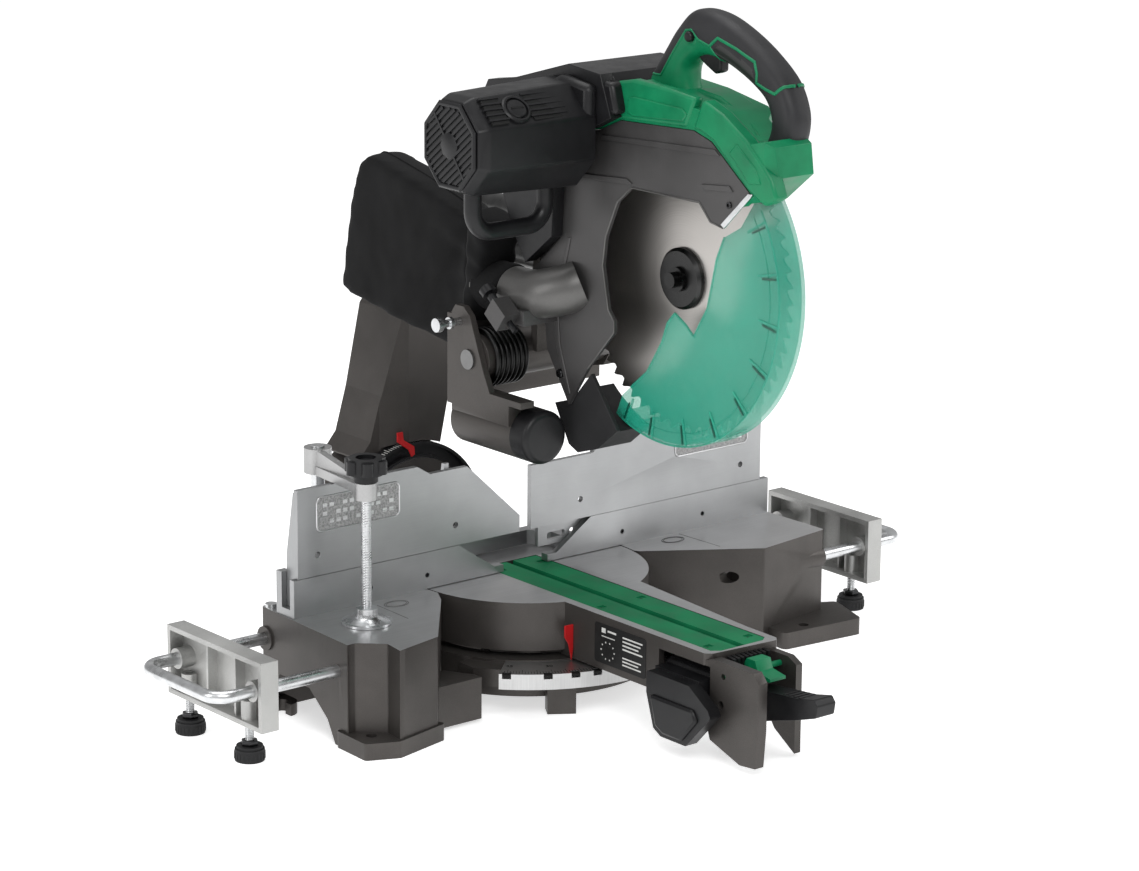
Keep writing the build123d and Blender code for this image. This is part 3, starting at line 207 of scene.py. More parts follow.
def two_tone(name, low, machined, painted):
    """Machined top over painted sides, told apart by height and by the facing of the surface."""
    n = Nodes(name)
    geometry = n.tree.nodes.new("ShaderNodeNewGeometry")
    facing = n.add("SeparateXYZ", Vector=geometry.outputs["True Normal"]).outputs["Z"]
    height = n.add("SeparateXYZ", Vector=n.coord).outputs["Z"]
    top = n.math("MULTIPLY", n.math("GREATER_THAN", facing, 0.9), n.math("GREATER_THAN", height, low))
    lines = n.noise(5.0, 5.0, 0.6, n.scaled((3, 260, 3)))
    paint, cloud = paint_shades(n, painted)
    mix = n.tree.nodes.new("ShaderNodeMix")
    mix.data_type = "RGBA"
    fac_socket, low_socket, high_socket = mix.inputs[0], mix.inputs[6], mix.inputs[7]
    n.put(fac_socket, top)
    n.put(low_socket, paint)
    n.put(high_socket, n.shades(n.blend(lines, cloud), machined, 0.86, 1.12))
    streaks = n.math("ADD", n.math("MULTIPLY", lines, 0.14), 0.33)
    n.set(Base_Color=mix.outputs[2],
          Metallic=n.math("ADD", n.math("MULTIPLY", top, 0.42), 0.55, True),
          Roughness=n.math("ADD", n.math("MULTIPLY", top, -0.08), streaks))
    n.bump(n.math("MULTIPLY", n.noise(900, 3.0), n.math("SUBTRACT", 1.0, top)), 0.35, 0.00012)
    return n.mat


GREY = (0.066, 0.060, 0.056)
MACHINED = (0.55, 0.55, 0.555)
LOOK = {
    "cast_grey": cast_paint("paint_warm_grey", GREY),
    "machined": brushed("machined_aluminium", (0.60, 0.60, 0.61)),
    "zinc": zinc("zinc_plate"),
    "plate_grey": cast_paint("cast_aluminium", (0.44, 0.44, 0.43), 0.45, 0.8, 700, 0.0002),
    "black_plastic": plastic("black_nylon", (0.0075, 0.0075, 0.0085), 0.38),
    "rubber_black": plastic("black_rubber", (0.014, 0.014, 0.015), 0.6, 900, 0.00014),
    "green": plastic("green_moulding", (0.002, 0.185, 0.075), 0.4, 1200, 0.00006),
    "cover_grey": cast_paint("paint_cover", (0.075, 0.073, 0.073), 0.42, 0.6, 1000, 0.0001),
    "guard_green": tinted("guard_tint", (0.02, 0.40, 0.27)),
    "blade_steel": steel_disc("ground_steel", BLADE, (0.46, 0.44, 0.42)),
    "scale_silver": brushed("scale_plate", (0.58, 0.58, 0.58), 0.35, (200, 200, 3)),
    "red": plastic("red_moulding", (0.48, 0.012, 0.014), 0.35),
    "bag_fabric": fabric("bag_cloth", (0.0042, 0.0042, 0.0046)),
    "belt_rubber": plastic("belt_rubber", (0.02, 0.02, 0.02), 0.7),
}
for entry in frame["record"]["subparts"]:
    node = frame["nodes"][entry["node"]]
    node.data.materials.clear()
    node.data.materials.append(LOOK[entry["material_slot"]])

TOP_LINE = TABLE - 0.0005
FENCE_METAL = brushed("fence_aluminium", (0.37, 0.375, 0.38), 0.4, (3, 400, 400), 0.1)
SPECIAL = {
    "base_casting": two_tone("base_paint", TOP_LINE, MACHINED, GREY),
    "turntable_casting": two_tone("table_paint", TOP_LINE, MACHINED, GREY),
    "handle_grip": plastic("grip_rubber", (0.021, 0.021, 0.023), 0.5, 1100, 0.00006),
    "dust_duct": cast_paint("duct_paint", (0.11, 0.108, 0.105), 0.36),
    "blade_flanges": zinc("dark_flange", (0.05, 0.05, 0.05), 0.3),
    "blade_bolt": zinc("dark_bolt", (0.04, 0.04, 0.04), 0.3),
    "vise_arm": brushed("vise_casting", (0.42, 0.42, 0.42), 0.4, (60, 60, 60)),
    "return_spring": zinc("spring_steel", (0.03, 0.03, 0.03), 0.35),
    "slide_rails": zinc("rail_steel", (0.09, 0.09, 0.09), 0.3),
    "slide_bushes": zinc("bush_steel", (0.06, 0.06, 0.06), 0.35),
    "hinge_shaft": zinc("hinge_steel", (0.2, 0.2, 0.2), 0.35),
    "kerf_inserts": plastic("insert_green", (0.001, 0.17, 0.065), 0.6, 1200, 0.00006),
    "fixed_fence": FENCE_METAL,
    "sub_fence_left": FENCE_METAL,
    "sub_fence_right": FENCE_METAL,
}
for name, material in SPECIAL.items():
    frame["nodes"][name].data.materials[0] = material
SCREW = zinc("screw_black", (0.05, 0.05, 0.052), 0.3)
# Near-black filling for screw sockets, motor vents, slots and notches: painted shade where only the shade
# inside would be seen.
RECESS_SHADE = plastic("painted_recess_shade", (0.003, 0.003, 0.003), 0.7)
WHITE = plastic("print_white", (0.62, 0.62, 0.6), 0.5)
INK = plastic("print_black", (0.01, 0.01, 0.01), 0.5)

# ---------------------------------------------------------------- mesh helpers
BODIES = frame["record"]["behaviour"]["bodies"]
BODY_OF = {node: body for body, nodes in BODIES.items() for node in nodes}


def piece(name, mesh, material, body, smooth=40):
    """Link a mesh as a piece riding on a body; smooth is the sharp-edge angle, 0 for flat."""
    obj = bpy.data.objects.new(name, mesh)
    bpy.context.scene.collection.objects.link(obj)
    mesh.materials.append(material)
    if smooth:
        mesh.shade_smooth()
        mesh.set_sharp_from_angle(angle=math.radians(smooth))
    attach(obj, body)
    return obj


def rounding(obj, width, segments=2, angle=32):
    bevel = obj.modifiers.new("edges", "BEVEL")
    bevel.width = width
    bevel.segments = segments
    bevel.limit_method = "ANGLE"
    bevel.angle_limit = math.radians(angle)
    bevel.use_clamp_overlap = True
    bevel.miter_outer = "MITER_ARC"
    return obj


def soften(node, width, segments=2):
    """Stand-in for a CAD node with its edges rounded."""
    mesh = frame["nodes"][node].data.copy()
    bm = bmesh.new()
    bm.from_mesh(mesh)
    bmesh.ops.remove_doubles(bm, verts=bm.verts, dist=2e-6)
    bmesh.ops.dissolve_limit(bm, angle_limit=math.radians(0.6), verts=bm.verts, edges=bm.edges)
    bm.to_mesh(mesh)
    bm.free()
    material = mesh.materials[0]
    mesh.materials.clear()
    obj = piece(node + "_finished", mesh, material, BODY_OF[node], 35)
    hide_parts(node)
    rounding(obj, width, segments)


def from_rings(rings, closed_ends=True):
    """Skin a list of equal rings of points."""
    mesh = bpy.data.meshes.new("loft")
    count = len(rings[0])
    faces = []
    for i in range(len(rings) - 1):
        low, high = i * count, (i + 1) * count
        for j in range(count):
            k = (j + 1) % count
            faces.append((low + j, low + k, high + k, high + j))
    if closed_ends:
        faces.append(tuple(reversed(range(count))))
        faces.append(tuple(range((len(rings) - 1) * count, len(rings) * count)))
    mesh.from_pydata([tuple(p) for ring in rings for p in ring], [], faces)
    bm = bmesh.new()
    bm.from_mesh(mesh)
    bmesh.ops.recalc_face_normals(bm, faces=bm.faces)
    bm.to_mesh(mesh)
    bm.free()
    return mesh


def at(x, y, z):
    """Point in mm, its height from the table, as metres in the frame."""
    return Vector((x * MM, y * MM, TABLE + z * MM))


def circle(count):
    """Angles of equal steps round a full turn."""
    return [2 * math.pi * i / count for i in range(count)]


def slab(name, outline, x0, x1, material, body, width=0.0004):
    """Outline of (y, z) extruded along X from x0 to x1."""
    rings = [[at(x, y, z) for y, z in outline] for x in (x0, x1)]
    return rounding(piece(name, from_rings(rings), material, body, 35), width)


def lathe(name, profile, place, direction, material, body, sides=40):
    """Profile of (radius, height) in mm turned about a direction from a place in metres."""
    move = Matrix.Translation(place) @ Vector(direction).to_track_quat("Z", "Y").to_matrix().to_4x4()
    rings = [[move @ Vector((r * MM * math.cos(a), r * MM * math.sin(a), h * MM)) for a in circle(sides)]
             for r, h in profile]
    return piece(name, from_rings(rings), material, body, 35)


def merged(name, parts, material, body, smooth=35):
    """One piece from many lists of rings."""
    verts, faces = [], []
    for rings in parts:
        mesh = from_rings(rings)
        base = len(verts)
        verts += [tuple(v.co) for v in mesh.vertices]
        faces += [tuple(base + i for i in poly.vertices) for poly in mesh.polygons]
        bpy.data.meshes.remove(mesh)
    mesh = bpy.data.meshes.new(name)
    mesh.from_pydata(verts, [], faces)
    return piece(name, mesh, material, body, smooth)


def bar(a, b, across, up):
    """Rings of a small box from a to b; across and up are half-size vectors."""
    return [[p - across - up, p + across - up, p + across + up, p - across + up] for p in (a, b)]


def screw(name, place, direction, r, body):
    """Socket-head screw whose hexagonal recess is a near-black disc of painted shade."""
    head = [(r, 0), (r, r * 0.42), (r * 0.86, r * 0.6), (r * 0.5, r * 0.6), (r * 0.46, r * 0.2)]
    lathe(name, head, place, direction, SCREW, body, 24)
    lathe(name + "_socket", [(r * 0.5, r * 0.19), (r * 0.5, r * 0.24)], place, direction, RECESS_SHADE, body,
          6)


def spline(points, steps):
    """Catmull-Rom through tuples of numbers."""
    result = []
    ends = [points[0]] + list(points) + [points[-1]]
    for i in range(1, len(ends) - 2):
        for k in range(steps):
            t = k / steps
            result.append(tuple(
                0.5 * (2 * q + (r - p) * t + (2 * p - 5 * q + 4 * r - s) * t * t
                       + (3 * q - p - 3 * r + s) * t ** 3)
                for p, q, r, s in zip(*ends[i - 1:i + 3])))
    result.append(tuple(points[-1]))
    return result


def wire(name, points, radius, material, body, sides=12, closed=False):
    """Tube along points in metres."""
    rings = []
    count = len(points)
    side = None
    for i, p in enumerate(points):
        before = points[(i - 1) % count] if closed else points[max(i - 1, 0)]
        after = points[(i + 1) % count] if closed else points[min(i + 1, count - 1)]
        run = (Vector(after) - Vector(before)).normalized()
        if side is None:
            side = run.orthogonal().normalized()
        side = (side - run * side.dot(run)).normalized()
        other = run.cross(side)
        rings.append([Vector(p) + radius * (math.cos(a) * side + math.sin(a) * other)
                      for a in circle(sides)])
    if closed:
        rings.append(rings[0])
    return piece(name, from_rings(rings, not closed), material, body, 60)


def thread(name, x, y, z0, z1, radius, pitch, body, depth=0.5, sides=28):
    """Threaded rod standing on Z; sizes in mm."""
    rings = []
    steps = int((z1 - z0) / pitch * 8)
    for i in range(steps + 1):
        z = z0 + (z1 - z0) * i / steps
        ring = []
        for j, a in enumerate(circle(sides)):
            r = radius - depth * abs(2 * ((z / pitch - j / sides) % 1.0) - 1)
            ring.append(at(x + r * math.cos(a), y + r * math.sin(a), z))
        rings.append(ring)
    piece(name, from_rings(rings), LOOK["zinc"], body, 50)


# ---------------------------------------------------------------- castings with rounded edges
for name, width, segments in (
        ("base_casting", 0.0022, 3), ("turntable_casting", 0.0022, 3), ("tilting_arm", 0.006, 4),
        ("slide_carriage", 0.0016, 2), ("gear_case", 0.0015, 2), ("blade_cover", 0.0012, 2),
        ("belt_cover", 0.004, 3), ("handle_frame", 0.004, 4), ("fixed_fence", 0.0007, 2),
        ("sub_fence_left", 0.0008, 2), ("sub_fence_right", 0.0008, 2), ("vise_arm", 0.0025, 3),
        ("left_support_plate", 0.0009, 2), ("right_support_plate", 0.0009, 2),
        ("dust_guide", 0.004, 3), ("mitre_handle", 0.0045, 4), ("bevel_lock_lever", 0.004, 4),
        ("detent_lever", 0.0012, 2), ("mitre_pointer", 0.0003, 2), ("vise_knob", 0.0012, 2)):
    soften(name, width, segments)

# ---------------------------------------------------------------- D handle
# Each station is an outer (y, z), an inner (y, z) and the half width there.
STATIONS = [(-190, 529, -254, 526, 16), (-203, 546, -250, 540, 16), (-219, 567, -251, 552, 16),
            (-236, 589, -262, 562, 16), (-258, 607, -276, 566, 16.5), (-290, 607, -300, 563, 17),
            (-325, 595, -322, 556, 17), (-358, 577, -344, 546, 17), (-386, 555, -360, 535, 16.5),
            (-400, 530, -367, 522, 16), (-401, 509, -367, 508, 15.5), (-393, 486, -359, 492, 15.5)]
GRIP_STEPS = 26
GRIP_SIDES = 96
GRIP_POWER = 0.72                         # 1 is an ellipse, less is fuller
GRIP_LINE = spline(STATIONS, GRIP_STEPS)
BUTTON_Y, BUTTON_Z = -262, 583
SHELL = [(-196, 524), (-203, 540), (-219, 541), (-254, 588), (-262, 590), (-272, 581), (-288, 577),
         (-294, 569), (-292, 556), (-262, 520)]
PAD = [(-293, 574), (-304, 581), (-348, 564), (-354, 540), (-300, 556)]
TRIM = [(-288, 577), (-300, 586), (-326, 579), (-351, 570), (-355, 560), (-354, 551), (-366, 547),
        (-379, 544), (-386, 551), (-391, 552)]
SHELL_EDGE = [(-203, 540), (-219, 541), (-236, 565), (-254, 588), (-262, 589), (-272, 581),
              (-288, 577), (-294, 569), (-297, 562)]


def signed_power(value, power):
    return math.copysign(abs(value) ** power, value)


def grip_ring(station):
    """Ring round the handle at one station, fuller than an ellipse."""
    oy, oz, iy, iz, half = station
    ring = []
    for angle in circle(GRIP_SIDES):
        c = signed_power(math.cos(angle), GRIP_POWER)
        s = signed_power(math.sin(angle), GRIP_POWER)
        ring.append(at(half * s, (oy + iy) / 2 + (oy - iy) / 2 * c, (oz + iz) / 2 + (oz - iz) / 2 * c))
    return ring


def on_grip(y, z, hand, proud):
    """Point on the side of the handle over a place (y, z)."""
    best = None
    for oy, oz, iy, iz, half in GRIP_LINE:
        length = math.hypot(oy - iy, oz - iz)
        uy, uz = (oy - iy) / length, (oz - iz) / length
        my, mz = (oy + iy) / 2, (oz + iz) / 2
        off = abs((y - my) * uz - (z - mz) * uy)
        share = ((y - my) * uy + (z - mz) * uz) / (length / 2)
        if abs(share) < 1.25 and (best is None or off < best[0]):
            best = (off, max(-0.995, min(0.995, share)), half)
    rise = math.sqrt(1 - abs(best[1]) ** (2 / GRIP_POWER)) ** GRIP_POWER
    return at(hand * (best[2] * rise + proud), y, z)


def inside(point, outline):
    """Even-odd test of a point in a closed outline."""
    y, z = point
    result = False
    for (y0, z0), (y1, z1) in zip(outline, outline[1:] + outline[:1]):
        if (z0 > z) != (z1 > z) and y < (y1 - y0) * (z - z0) / (z1 - z0) + y0:
            result = not result
    return result


hatch = Nodes("grip_hatch")
slant = [hatch.add("TexWave", Vector=hatch.scaled((1, 1, 1), (turn, 0, 0)), Scale=120.0)
         for turn in (0.9, 0.9 + math.pi / 2)]
crossed = hatch.math("MULTIPLY", *[wave.outputs["Fac"] for wave in slant])
hatch.set(Base_Color=hatch.ramp(crossed, [(0.2, (0.006, 0.006, 0.006)), (0.6, (0.03, 0.03, 0.03))]),
          Roughness=0.55)
hatch.bump(crossed, 0.9, 0.0008)
grip_mesh = from_rings([grip_ring(station) for station in GRIP_LINE])
grip = piece("grip_bow", grip_mesh, SPECIAL["handle_grip"], "head", 60)
grip_mesh.materials.append(LOOK["green"])
grip_mesh.materials.append(hatch.mat)
for poly in grip_mesh.polygons:
    place = (poly.center.y / MM, (poly.center.z - TABLE) / MM)
    if inside(place, SHELL):
        poly.material_index = 1
    elif inside(place, PAD) and abs(poly.center.x) > 0.006:
        poly.material_index = 2
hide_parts("handle_grip")

for hand in (1, -1):
    for label, line, radius in (("trim", TRIM, 0.0017), ("edge", SHELL_EDGE, 0.0013)):
        dense = [(a[0] + (b[0] - a[0]) * k / 6, a[1] + (b[1] - a[1]) * k / 6)
                 for a, b in zip(line, line[1:]) for k in range(6)] + [line[-1]]
        wire(f"grip_{label}_{hand + 1}", [on_grip(y, z, hand, -0.4) for y, z in dense], radius,
             LOOK["green"], "head", 8)
finger = slab("trigger_finger", [(-292, 552), (-292, 568), (-262, 570), (-260, 562), (-270, 556),
                                 (-284, 549)],
              -5.5, 5.5, LOOK["black_plastic"], "trigger", 0.002)
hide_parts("trigger")
for hand in (1, -1):
    lathe(f"button_collar_{hand + 1}", [(8.5, 0), (8.5, 1.6), (7.2, 2.4), (6.0, 2.4), (5.7, 0.5)],
          at(hand * 14.0, BUTTON_Y, BUTTON_Z), (hand, 0, 0), LOOK["green"], "head", 28)
lathe("button_cap", [(5, 0), (5, 3.2), (4.2, 4.2), (2.4, 4.5), (0.2, 4.5)],
      at(-17, BUTTON_Y, BUTTON_Z), (-1, 0, 0), LOOK["black_plastic"], "lock_off", 28)

# ---------------------------------------------------------------- relief of the head's mouldings
# Each row is a name, its outline of (y, z), the X it runs between and the rounding of its edges.
GREEN_RELIEF = (
    ("frame_arc", [(-300, 504), (-313, 533), (-340, 523), (-372, 504), (-392, 488), (-409, 472),
                   (-417, 455), (-400, 446), (-378, 457), (-327, 497), (-312, 503)], -46.2, -30, 0.003),
    ("frame_rear", [(-140, 488), (-165, 486), (-196, 499), (-290, 504), (-303, 533), (-262, 537),
                    (-214, 539), (-170, 530), (-140, 514)], -45.8, -34, 0.003),
    ("frame_panel_rear", [(-206, 507), (-209, 521), (-216, 523), (-286, 521), (-292, 516), (-286, 509),
                          (-214, 504)], -47.2, -45, 0.0014),
    ("frame_panel_rear_mark", [(-190, 505), (-193, 520), (-198, 521), (-195, 504)], -47.0, -45, 0.001),
    ("frame_panel_front", [(-352, 489), (-362, 499), (-388, 480), (-396, 466), (-380, 464),
                           (-366, 477)], -47.4, -45, 0.0016),
    ("frame_spine", [(-246, 528), (-262, 532), (-290, 529), (-318, 518), (-344, 502), (-352, 488),
                     (-322, 500), (-280, 514)], -6, 24, 0.003),
    ("frame_saddle", [(-350, 490), (-356, 499), (-372, 493), (-398, 493), (-406, 484), (-408, 470),
                      (-380, 462)], -19, 6, 0.006),
)
COVER_RELIEF = (
    ("cover_rib_high", [(-168, 475), (-170, 480), (-331, 489), (-338, 484)], -46.6, -44.6, 0.0004),
    ("cover_rib_low", [(-141, 433), (-142, 438), (-206, 443), (-214, 438.5)], -46.6, -44.6, 0.0004),
    ("cover_rib_front", [(-318, 449), (-314, 454), (-352, 458), (-357, 453)], -46.6, -44.6, 0.0004),
    ("cover_ridge", [(-119, 372), (-123, 372), (-104, 300), (-108, 262), (-124, 216), (-120, 214),
                     (-101, 262), (-98, 300)], -46.2, -44.6, 0.0008),
)
BLACK_RELIEF = (
    ("belt_cover_flare", [(-60, 500), (-134, 536), (-178, 530), (-176, 462), (-150, 432), (-112, 424),
                          (-92, 440)], -72, -57, 0.006),
    ("belt_cover_brow", [(-150, 536), (-196, 534), (-204, 506), (-186, 500), (-166, 520)],
     -58, -40, 0.004),
)
for rows, slot in ((GREEN_RELIEF, "green"), (COVER_RELIEF, "cover_grey"), (BLACK_RELIEF, "black_plastic")):
    for name, outline, x0, x1, width in rows:
        slab(name, outline, x0, x1, LOOK[slot], "head", width)

COVER_X = -45                             # outer face of the blade cover
OPENING = [(-380, 454), (-343, 417), (-326, 420), (-310, 436), (-213, 435), (-192, 418), (-175, 381),
           (-171, 352), (-180, 310), (-189, 300), (-189, 289), (-150, 246)]
# The rim wire is a real rolled edge, and its lighter grey (the duct's paint) is a painted highlight along
# the opening's edge.
wire("cover_edge", [at(COVER_X - 0.2, y, z) for y, z in OPENING], 0.0009, SPECIAL["dust_duct"], "head",
     8)
slab("cover_strip", [(-346, 417), (-381, 451), (-384, 455), (-378, 455), (-341, 420)], -46.4, -44.6,
     LOOK["zinc"], "head", 0.0005)
for label, y, z, radius in (("", -108, 233, 4.5), ("_130", -130, 462, 3.2), ("_352", -352, 440, 3.2)):
    screw("cover_screw" + label, at(COVER_X, y, z), (-1, 0, 0), radius, "head")

# ---------------------------------------------------------------- motor
MOTOR_UP, MOTOR_WIDE = 50, 47             # half sizes across the flats
MOTOR_END = -199                          # X of the grille
CORNERS = [math.radians(22.5 + 45 * i) for i in range(8)]
TO_CORNER = 1 / math.cos(math.radians(22.5))
SLAT_TILT = math.radians(52)


def motor_ring(x, scale):
    wide, up = MOTOR_WIDE * scale * TO_CORNER, MOTOR_UP * scale * TO_CORNER
    return [at(x, MOTOR_Y + wide * math.cos(a), MOTOR_Z + up * math.sin(a)) for a in CORNERS]


def motor_piece(name, sections):
    """Octagonal moulding through (x, scale) sections."""
    mesh = from_rings([motor_ring(x, scale) for x, scale in sections])
    return piece(name, mesh, LOOK["black_plastic"], "head", 30)


shell = motor_piece("motor_shell", [(-60, 1.02), (-100, 1.0), (-186, 0.94), (-197, 0.84)])
rounding(shell, 0.002, 3, 15)
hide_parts("motor_housing")
rim = motor_piece("motor_grille_rim", [(-199, 0.84), (-201, 0.8), (-201, 0.74), (-197.2, 0.72)])
rounding(rim, 0.0006, 2, 15)
# A near-black disc behind the grille slats is painted shade for the motor's dark inside.
piece("motor_grille_shade", from_rings([motor_ring(-197.1, 0.76), motor_ring(-197.6, 0.76)]), RECESS_SHADE,
      "head")
run = Vector((0, -math.sin(SLAT_TILT), math.cos(SLAT_TILT)))
across = Vector((0, math.cos(SLAT_TILT), math.sin(SLAT_TILT)))
slats = []
for i in range(-6, 7):
    offset = i * 5.6
    reach = run * math.sqrt(36.5 ** 2 - offset ** 2) * MM
    centre = at(MOTOR_END, MOTOR_Y, MOTOR_Z) + across * offset * MM
    slats.append(bar(centre - reach, centre + reach, across * 0.0013, Vector((0.0016, 0, 0))))
centre = at(MOTOR_END - 0.2, MOTOR_Y, MOTOR_Z)
slats.append(bar(centre + across * 0.037, centre - across * 0.037, run * 0.0012, Vector((0.0018, 0, 0))))
merged("motor_slats", slats, LOOK["black_plastic"], "head")
lathe("motor_hub", [(13, 0), (13, 2.6), (11.5, 3.4), (0.1, 3.4)], at(-198, MOTOR_Y, MOTOR_Z),
      (-1, 0, 0), LOOK["black_plastic"], "head", 8)

# Vents and brush cap sit on the motor's upper front facet.
SLIT_PITCH = 0.0062
facet = Vector((0, -math.sqrt(0.5), math.sqrt(0.5)))
along = Vector((0, math.sqrt(0.5), math.sqrt(0.5)))
facet_mid = at(0, MOTOR_Y, MOTOR_Z) + facet * 0.0455
cap_place = facet_mid + Vector((-0.147, 0, 0))


def facet_bars(shift, spans, half, depth):
    """Bars along the facet, one row for each slit, over each span of X in mm."""
    rows = []
    for i in range(-2, 3):
        row = facet_mid + along * (i + shift) * SLIT_PITCH
        for x0, x1 in spans:
            rows.append(bar(row + Vector((x0 * MM, 0, 0)), row + Vector((x1 * MM, 0, 0)),
                            along * half, facet * depth))
    return rows


# The vent slits are near-black bars of painted shade, between raised black lips.
merged("motor_slits", facet_bars(0, ((-182, -162), (-132, -92)), 0.0019, 0.0026), RECESS_SHADE, "head")
merged("motor_slit_lips", facet_bars(0.5, ((-184, -160), (-134, -90)), 0.0010, 0.0034),
       LOOK["black_plastic"], "head")
for name, profile in (
        ("brush_cap_ring", [(15.5, 0), (15.5, 3.4), (14, 4.6), (12.2, 4.6), (11.6, 1.0)]),
        ("brush_cap", [(10.5, 0), (10.5, 3.6), (9.4, 5.0), (4, 5.6), (0.2, 5.7)])):
    lathe(name, profile, cap_place, facet, LOOK["black_plastic"], "head", 40)
# The slot in the brush cap is a near-black bar of painted shade.
slot_place = cap_place + facet * 0.0052
slot_reach = Vector((0.007, 0, 0))
piece("brush_cap_slot", from_rings(bar(slot_place - slot_reach, slot_place + slot_reach, along * 0.001,
                                       facet * 0.0007)), RECESS_SHADE, "head", 0)

# ---------------------------------------------------------------- dust bag
BAG_OUTLINE = [(-42, 374), (-12, 384), (22, 394), (82, 411), (134, 422), (160, 427), (177, 416),
               (186, 395), (196, 370), (206, 325), (216, 277), (204, 270), (130, 256), (95, 250),
               (37, 240), (14, 240), (-6, 262), (-26, 296), (-32, 326)]
BAG_X = -62                               # middle plane of the bag
BAG_HALF = 24                             # half its thickness before it fills
BAG_Y, BAG_Z = 80, 330                    # middle of its side
NECK_Y, NECK_Z = -60, 318                 # where the folds gather
CLOTH_STEPS = 20
CLOTH_REACH = 0.009                       # furthest that filling moves the cloth


def evaluated(obj):
    """Mesh of an object with its modifiers applied."""
    return bpy.data.meshes.new_from_object(obj.evaluated_get(bpy.context.evaluated_depsgraph_get()))


def bag_section(place):
    """Outline at a share of the half thickness, drawn in a little towards the sides."""
    pull = 0.03 * abs(place) ** 3
    return [at(BAG_X + place * BAG_HALF, y + (BAG_Y - y) * pull, z + (BAG_Z - z) * pull)
            for y, z in BAG_OUTLINE]


bag_start = bpy.data.objects.new("bag_start", from_rings([bag_section(p) for p in (-1, -0.7, 0, 0.7, 1)]))
bpy.context.scene.collection.objects.link(bag_start)
remesh = bag_start.modifiers.new("even", "REMESH")
remesh.mode = "VOXEL"
remesh.voxel_size = 0.006
cloth_mesh = evaluated(bag_start)
bpy.data.objects.remove(bag_start)
bag = bpy.data.objects.new("bag_cloth", cloth_mesh)
bpy.context.scene.collection.objects.link(bag)
rest_points = [v.co.copy() for v in cloth_mesh.vertices]
pinned = bag.vertex_groups.new(name="neck")
pinned.add([v.index for v in cloth_mesh.vertices if v.co.y < -0.006], 1.0, "REPLACE")
cloth = bag.modifiers.new("cloth", "CLOTH")
cloth.settings.quality = 6
cloth.settings.mass = 0.25
cloth.settings.tension_stiffness = 12
cloth.settings.compression_stiffness = 12
cloth.settings.bending_stiffness = 0.4
cloth.settings.use_pressure = True
cloth.settings.uniform_pressure_force = 2.5
cloth.settings.vertex_group_mass = "neck"
cloth.settings.effector_weights.gravity = 0.25
cloth.point_cache.frame_start = 1
cloth.point_cache.frame_end = CLOTH_STEPS
for step in range(1, CLOTH_STEPS + 1):
    bpy.context.scene.frame_set(step)
filled = evaluated(bag)
bag.modifiers.clear()
bpy.context.scene.frame_set(1)
for vertex, start, moved in zip(cloth_mesh.vertices, rest_points, filled.vertices):
    shift = moved.co - start
    vertex.co = start + shift * min(1.0, CLOTH_REACH / max(shift.length, 1e-6))
for vertex in cloth_mesh.vertices:
    y, z = vertex.co.y / MM, (vertex.co.z - TABLE) / MM
    reach = math.hypot(y - NECK_Y, z - NECK_Z)
    turn = math.atan2(z - NECK_Z, y - NECK_Y)
    gathers = math.sin(turn * 15) * 2.6 + math.sin(turn * 27 + 1.3) * 1.1
    folds = math.exp(-max(0.0, reach - 24) / 46) * gathers
    waves = 1.6 * noise.noise(Vector((y / 46, z / 60, vertex.co.x * 20)))
    waves += 0.7 * noise.noise(Vector((y / 17, z / 23, 3)))
    side = -1 if vertex.co.x < BAG_X * MM else 1
    edge = min(1.0, abs(vertex.co.x / MM - BAG_X) / 16)
    vertex.co.x += side * edge * (folds + waves) * MM
bag.vertex_groups.clear()
finer = bag.modifiers.new("finer", "SUBSURF")
finer.levels = 1
finer.render_levels = 1
cloth_mesh.materials.append(LOOK["bag_fabric"])
cloth_mesh.shade_smooth()
BAG_BODY = BODY_OF["dust_bag"]
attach(bag, BAG_BODY)
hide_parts("dust_bag")

# The seam follows the cloth's own points nearest to the outline.
middle = [v.co.copy() for v in cloth_mesh.vertices if abs(v.co.x / MM - BAG_X) < 7]
seam = [min(middle, key=lambda co: (co - at(BAG_X, y, z)).length)
        for y, z in spline(BAG_OUTLINE[1:15], 3)]
seam = [(a + b + c) / 3 for a, b, c in zip(seam, seam[1:], seam[2:])]
wire("bag_seam", seam, 0.0014, LOOK["bag_fabric"], BAG_BODY, 8)
elbow = spline([(-62, -58, 310), (-62, -84, 311), (-59, -104, 315), (-48, -122, 321),
                (-38, -130, 326)], 6)
wire("duct_elbow", [at(*p) for p in elbow], 0.0243, SPECIAL["dust_duct"], BODY_OF["dust_duct"],
     40)
lathe("bag_cuff", [(24.6, 0), (25.6, 1.5), (25.2, 8), (26.0, 16), (25.3, 24), (26.2, 34), (25.4, 40),
                   (24.6, 41)],
      at(BAG_X, -16, 310), (0, -1, 0), LOOK["bag_fabric"], BAG_BODY, 48)

# ---------------------------------------------------------------- guard ribs and slots
GUARD_FROM, GUARD_TO = 146, 295           # degrees round the blade that the guard covers
rib_face = BLADE + Vector((-0.0243, 0, 0))
slot_face = BLADE + Vector((-0.0247, 0, 0))
ribs = []
slots = []
for angle in (150, 168, 186, 204, 222, 240, 258, 276, 290):
    a = math.radians(angle)
    out = Vector((0, math.cos(a), math.sin(a)))
    turn = Vector((0, -math.sin(a), math.cos(a)))
    ribs.append(bar(rib_face + out * 0.133, rib_face + out * 0.1600, turn * 0.0011,
                    Vector((0.0007, 0, 0))))
    slots.append(bar(slot_face + out * 0.139 + turn * 0.003, slot_face + out * 0.1575 + turn * 0.0045,
                     turn * 0.0009, Vector((0.0004, 0, 0))))
merged("guard_ribs", ribs, LOOK["guard_green"], "guard")
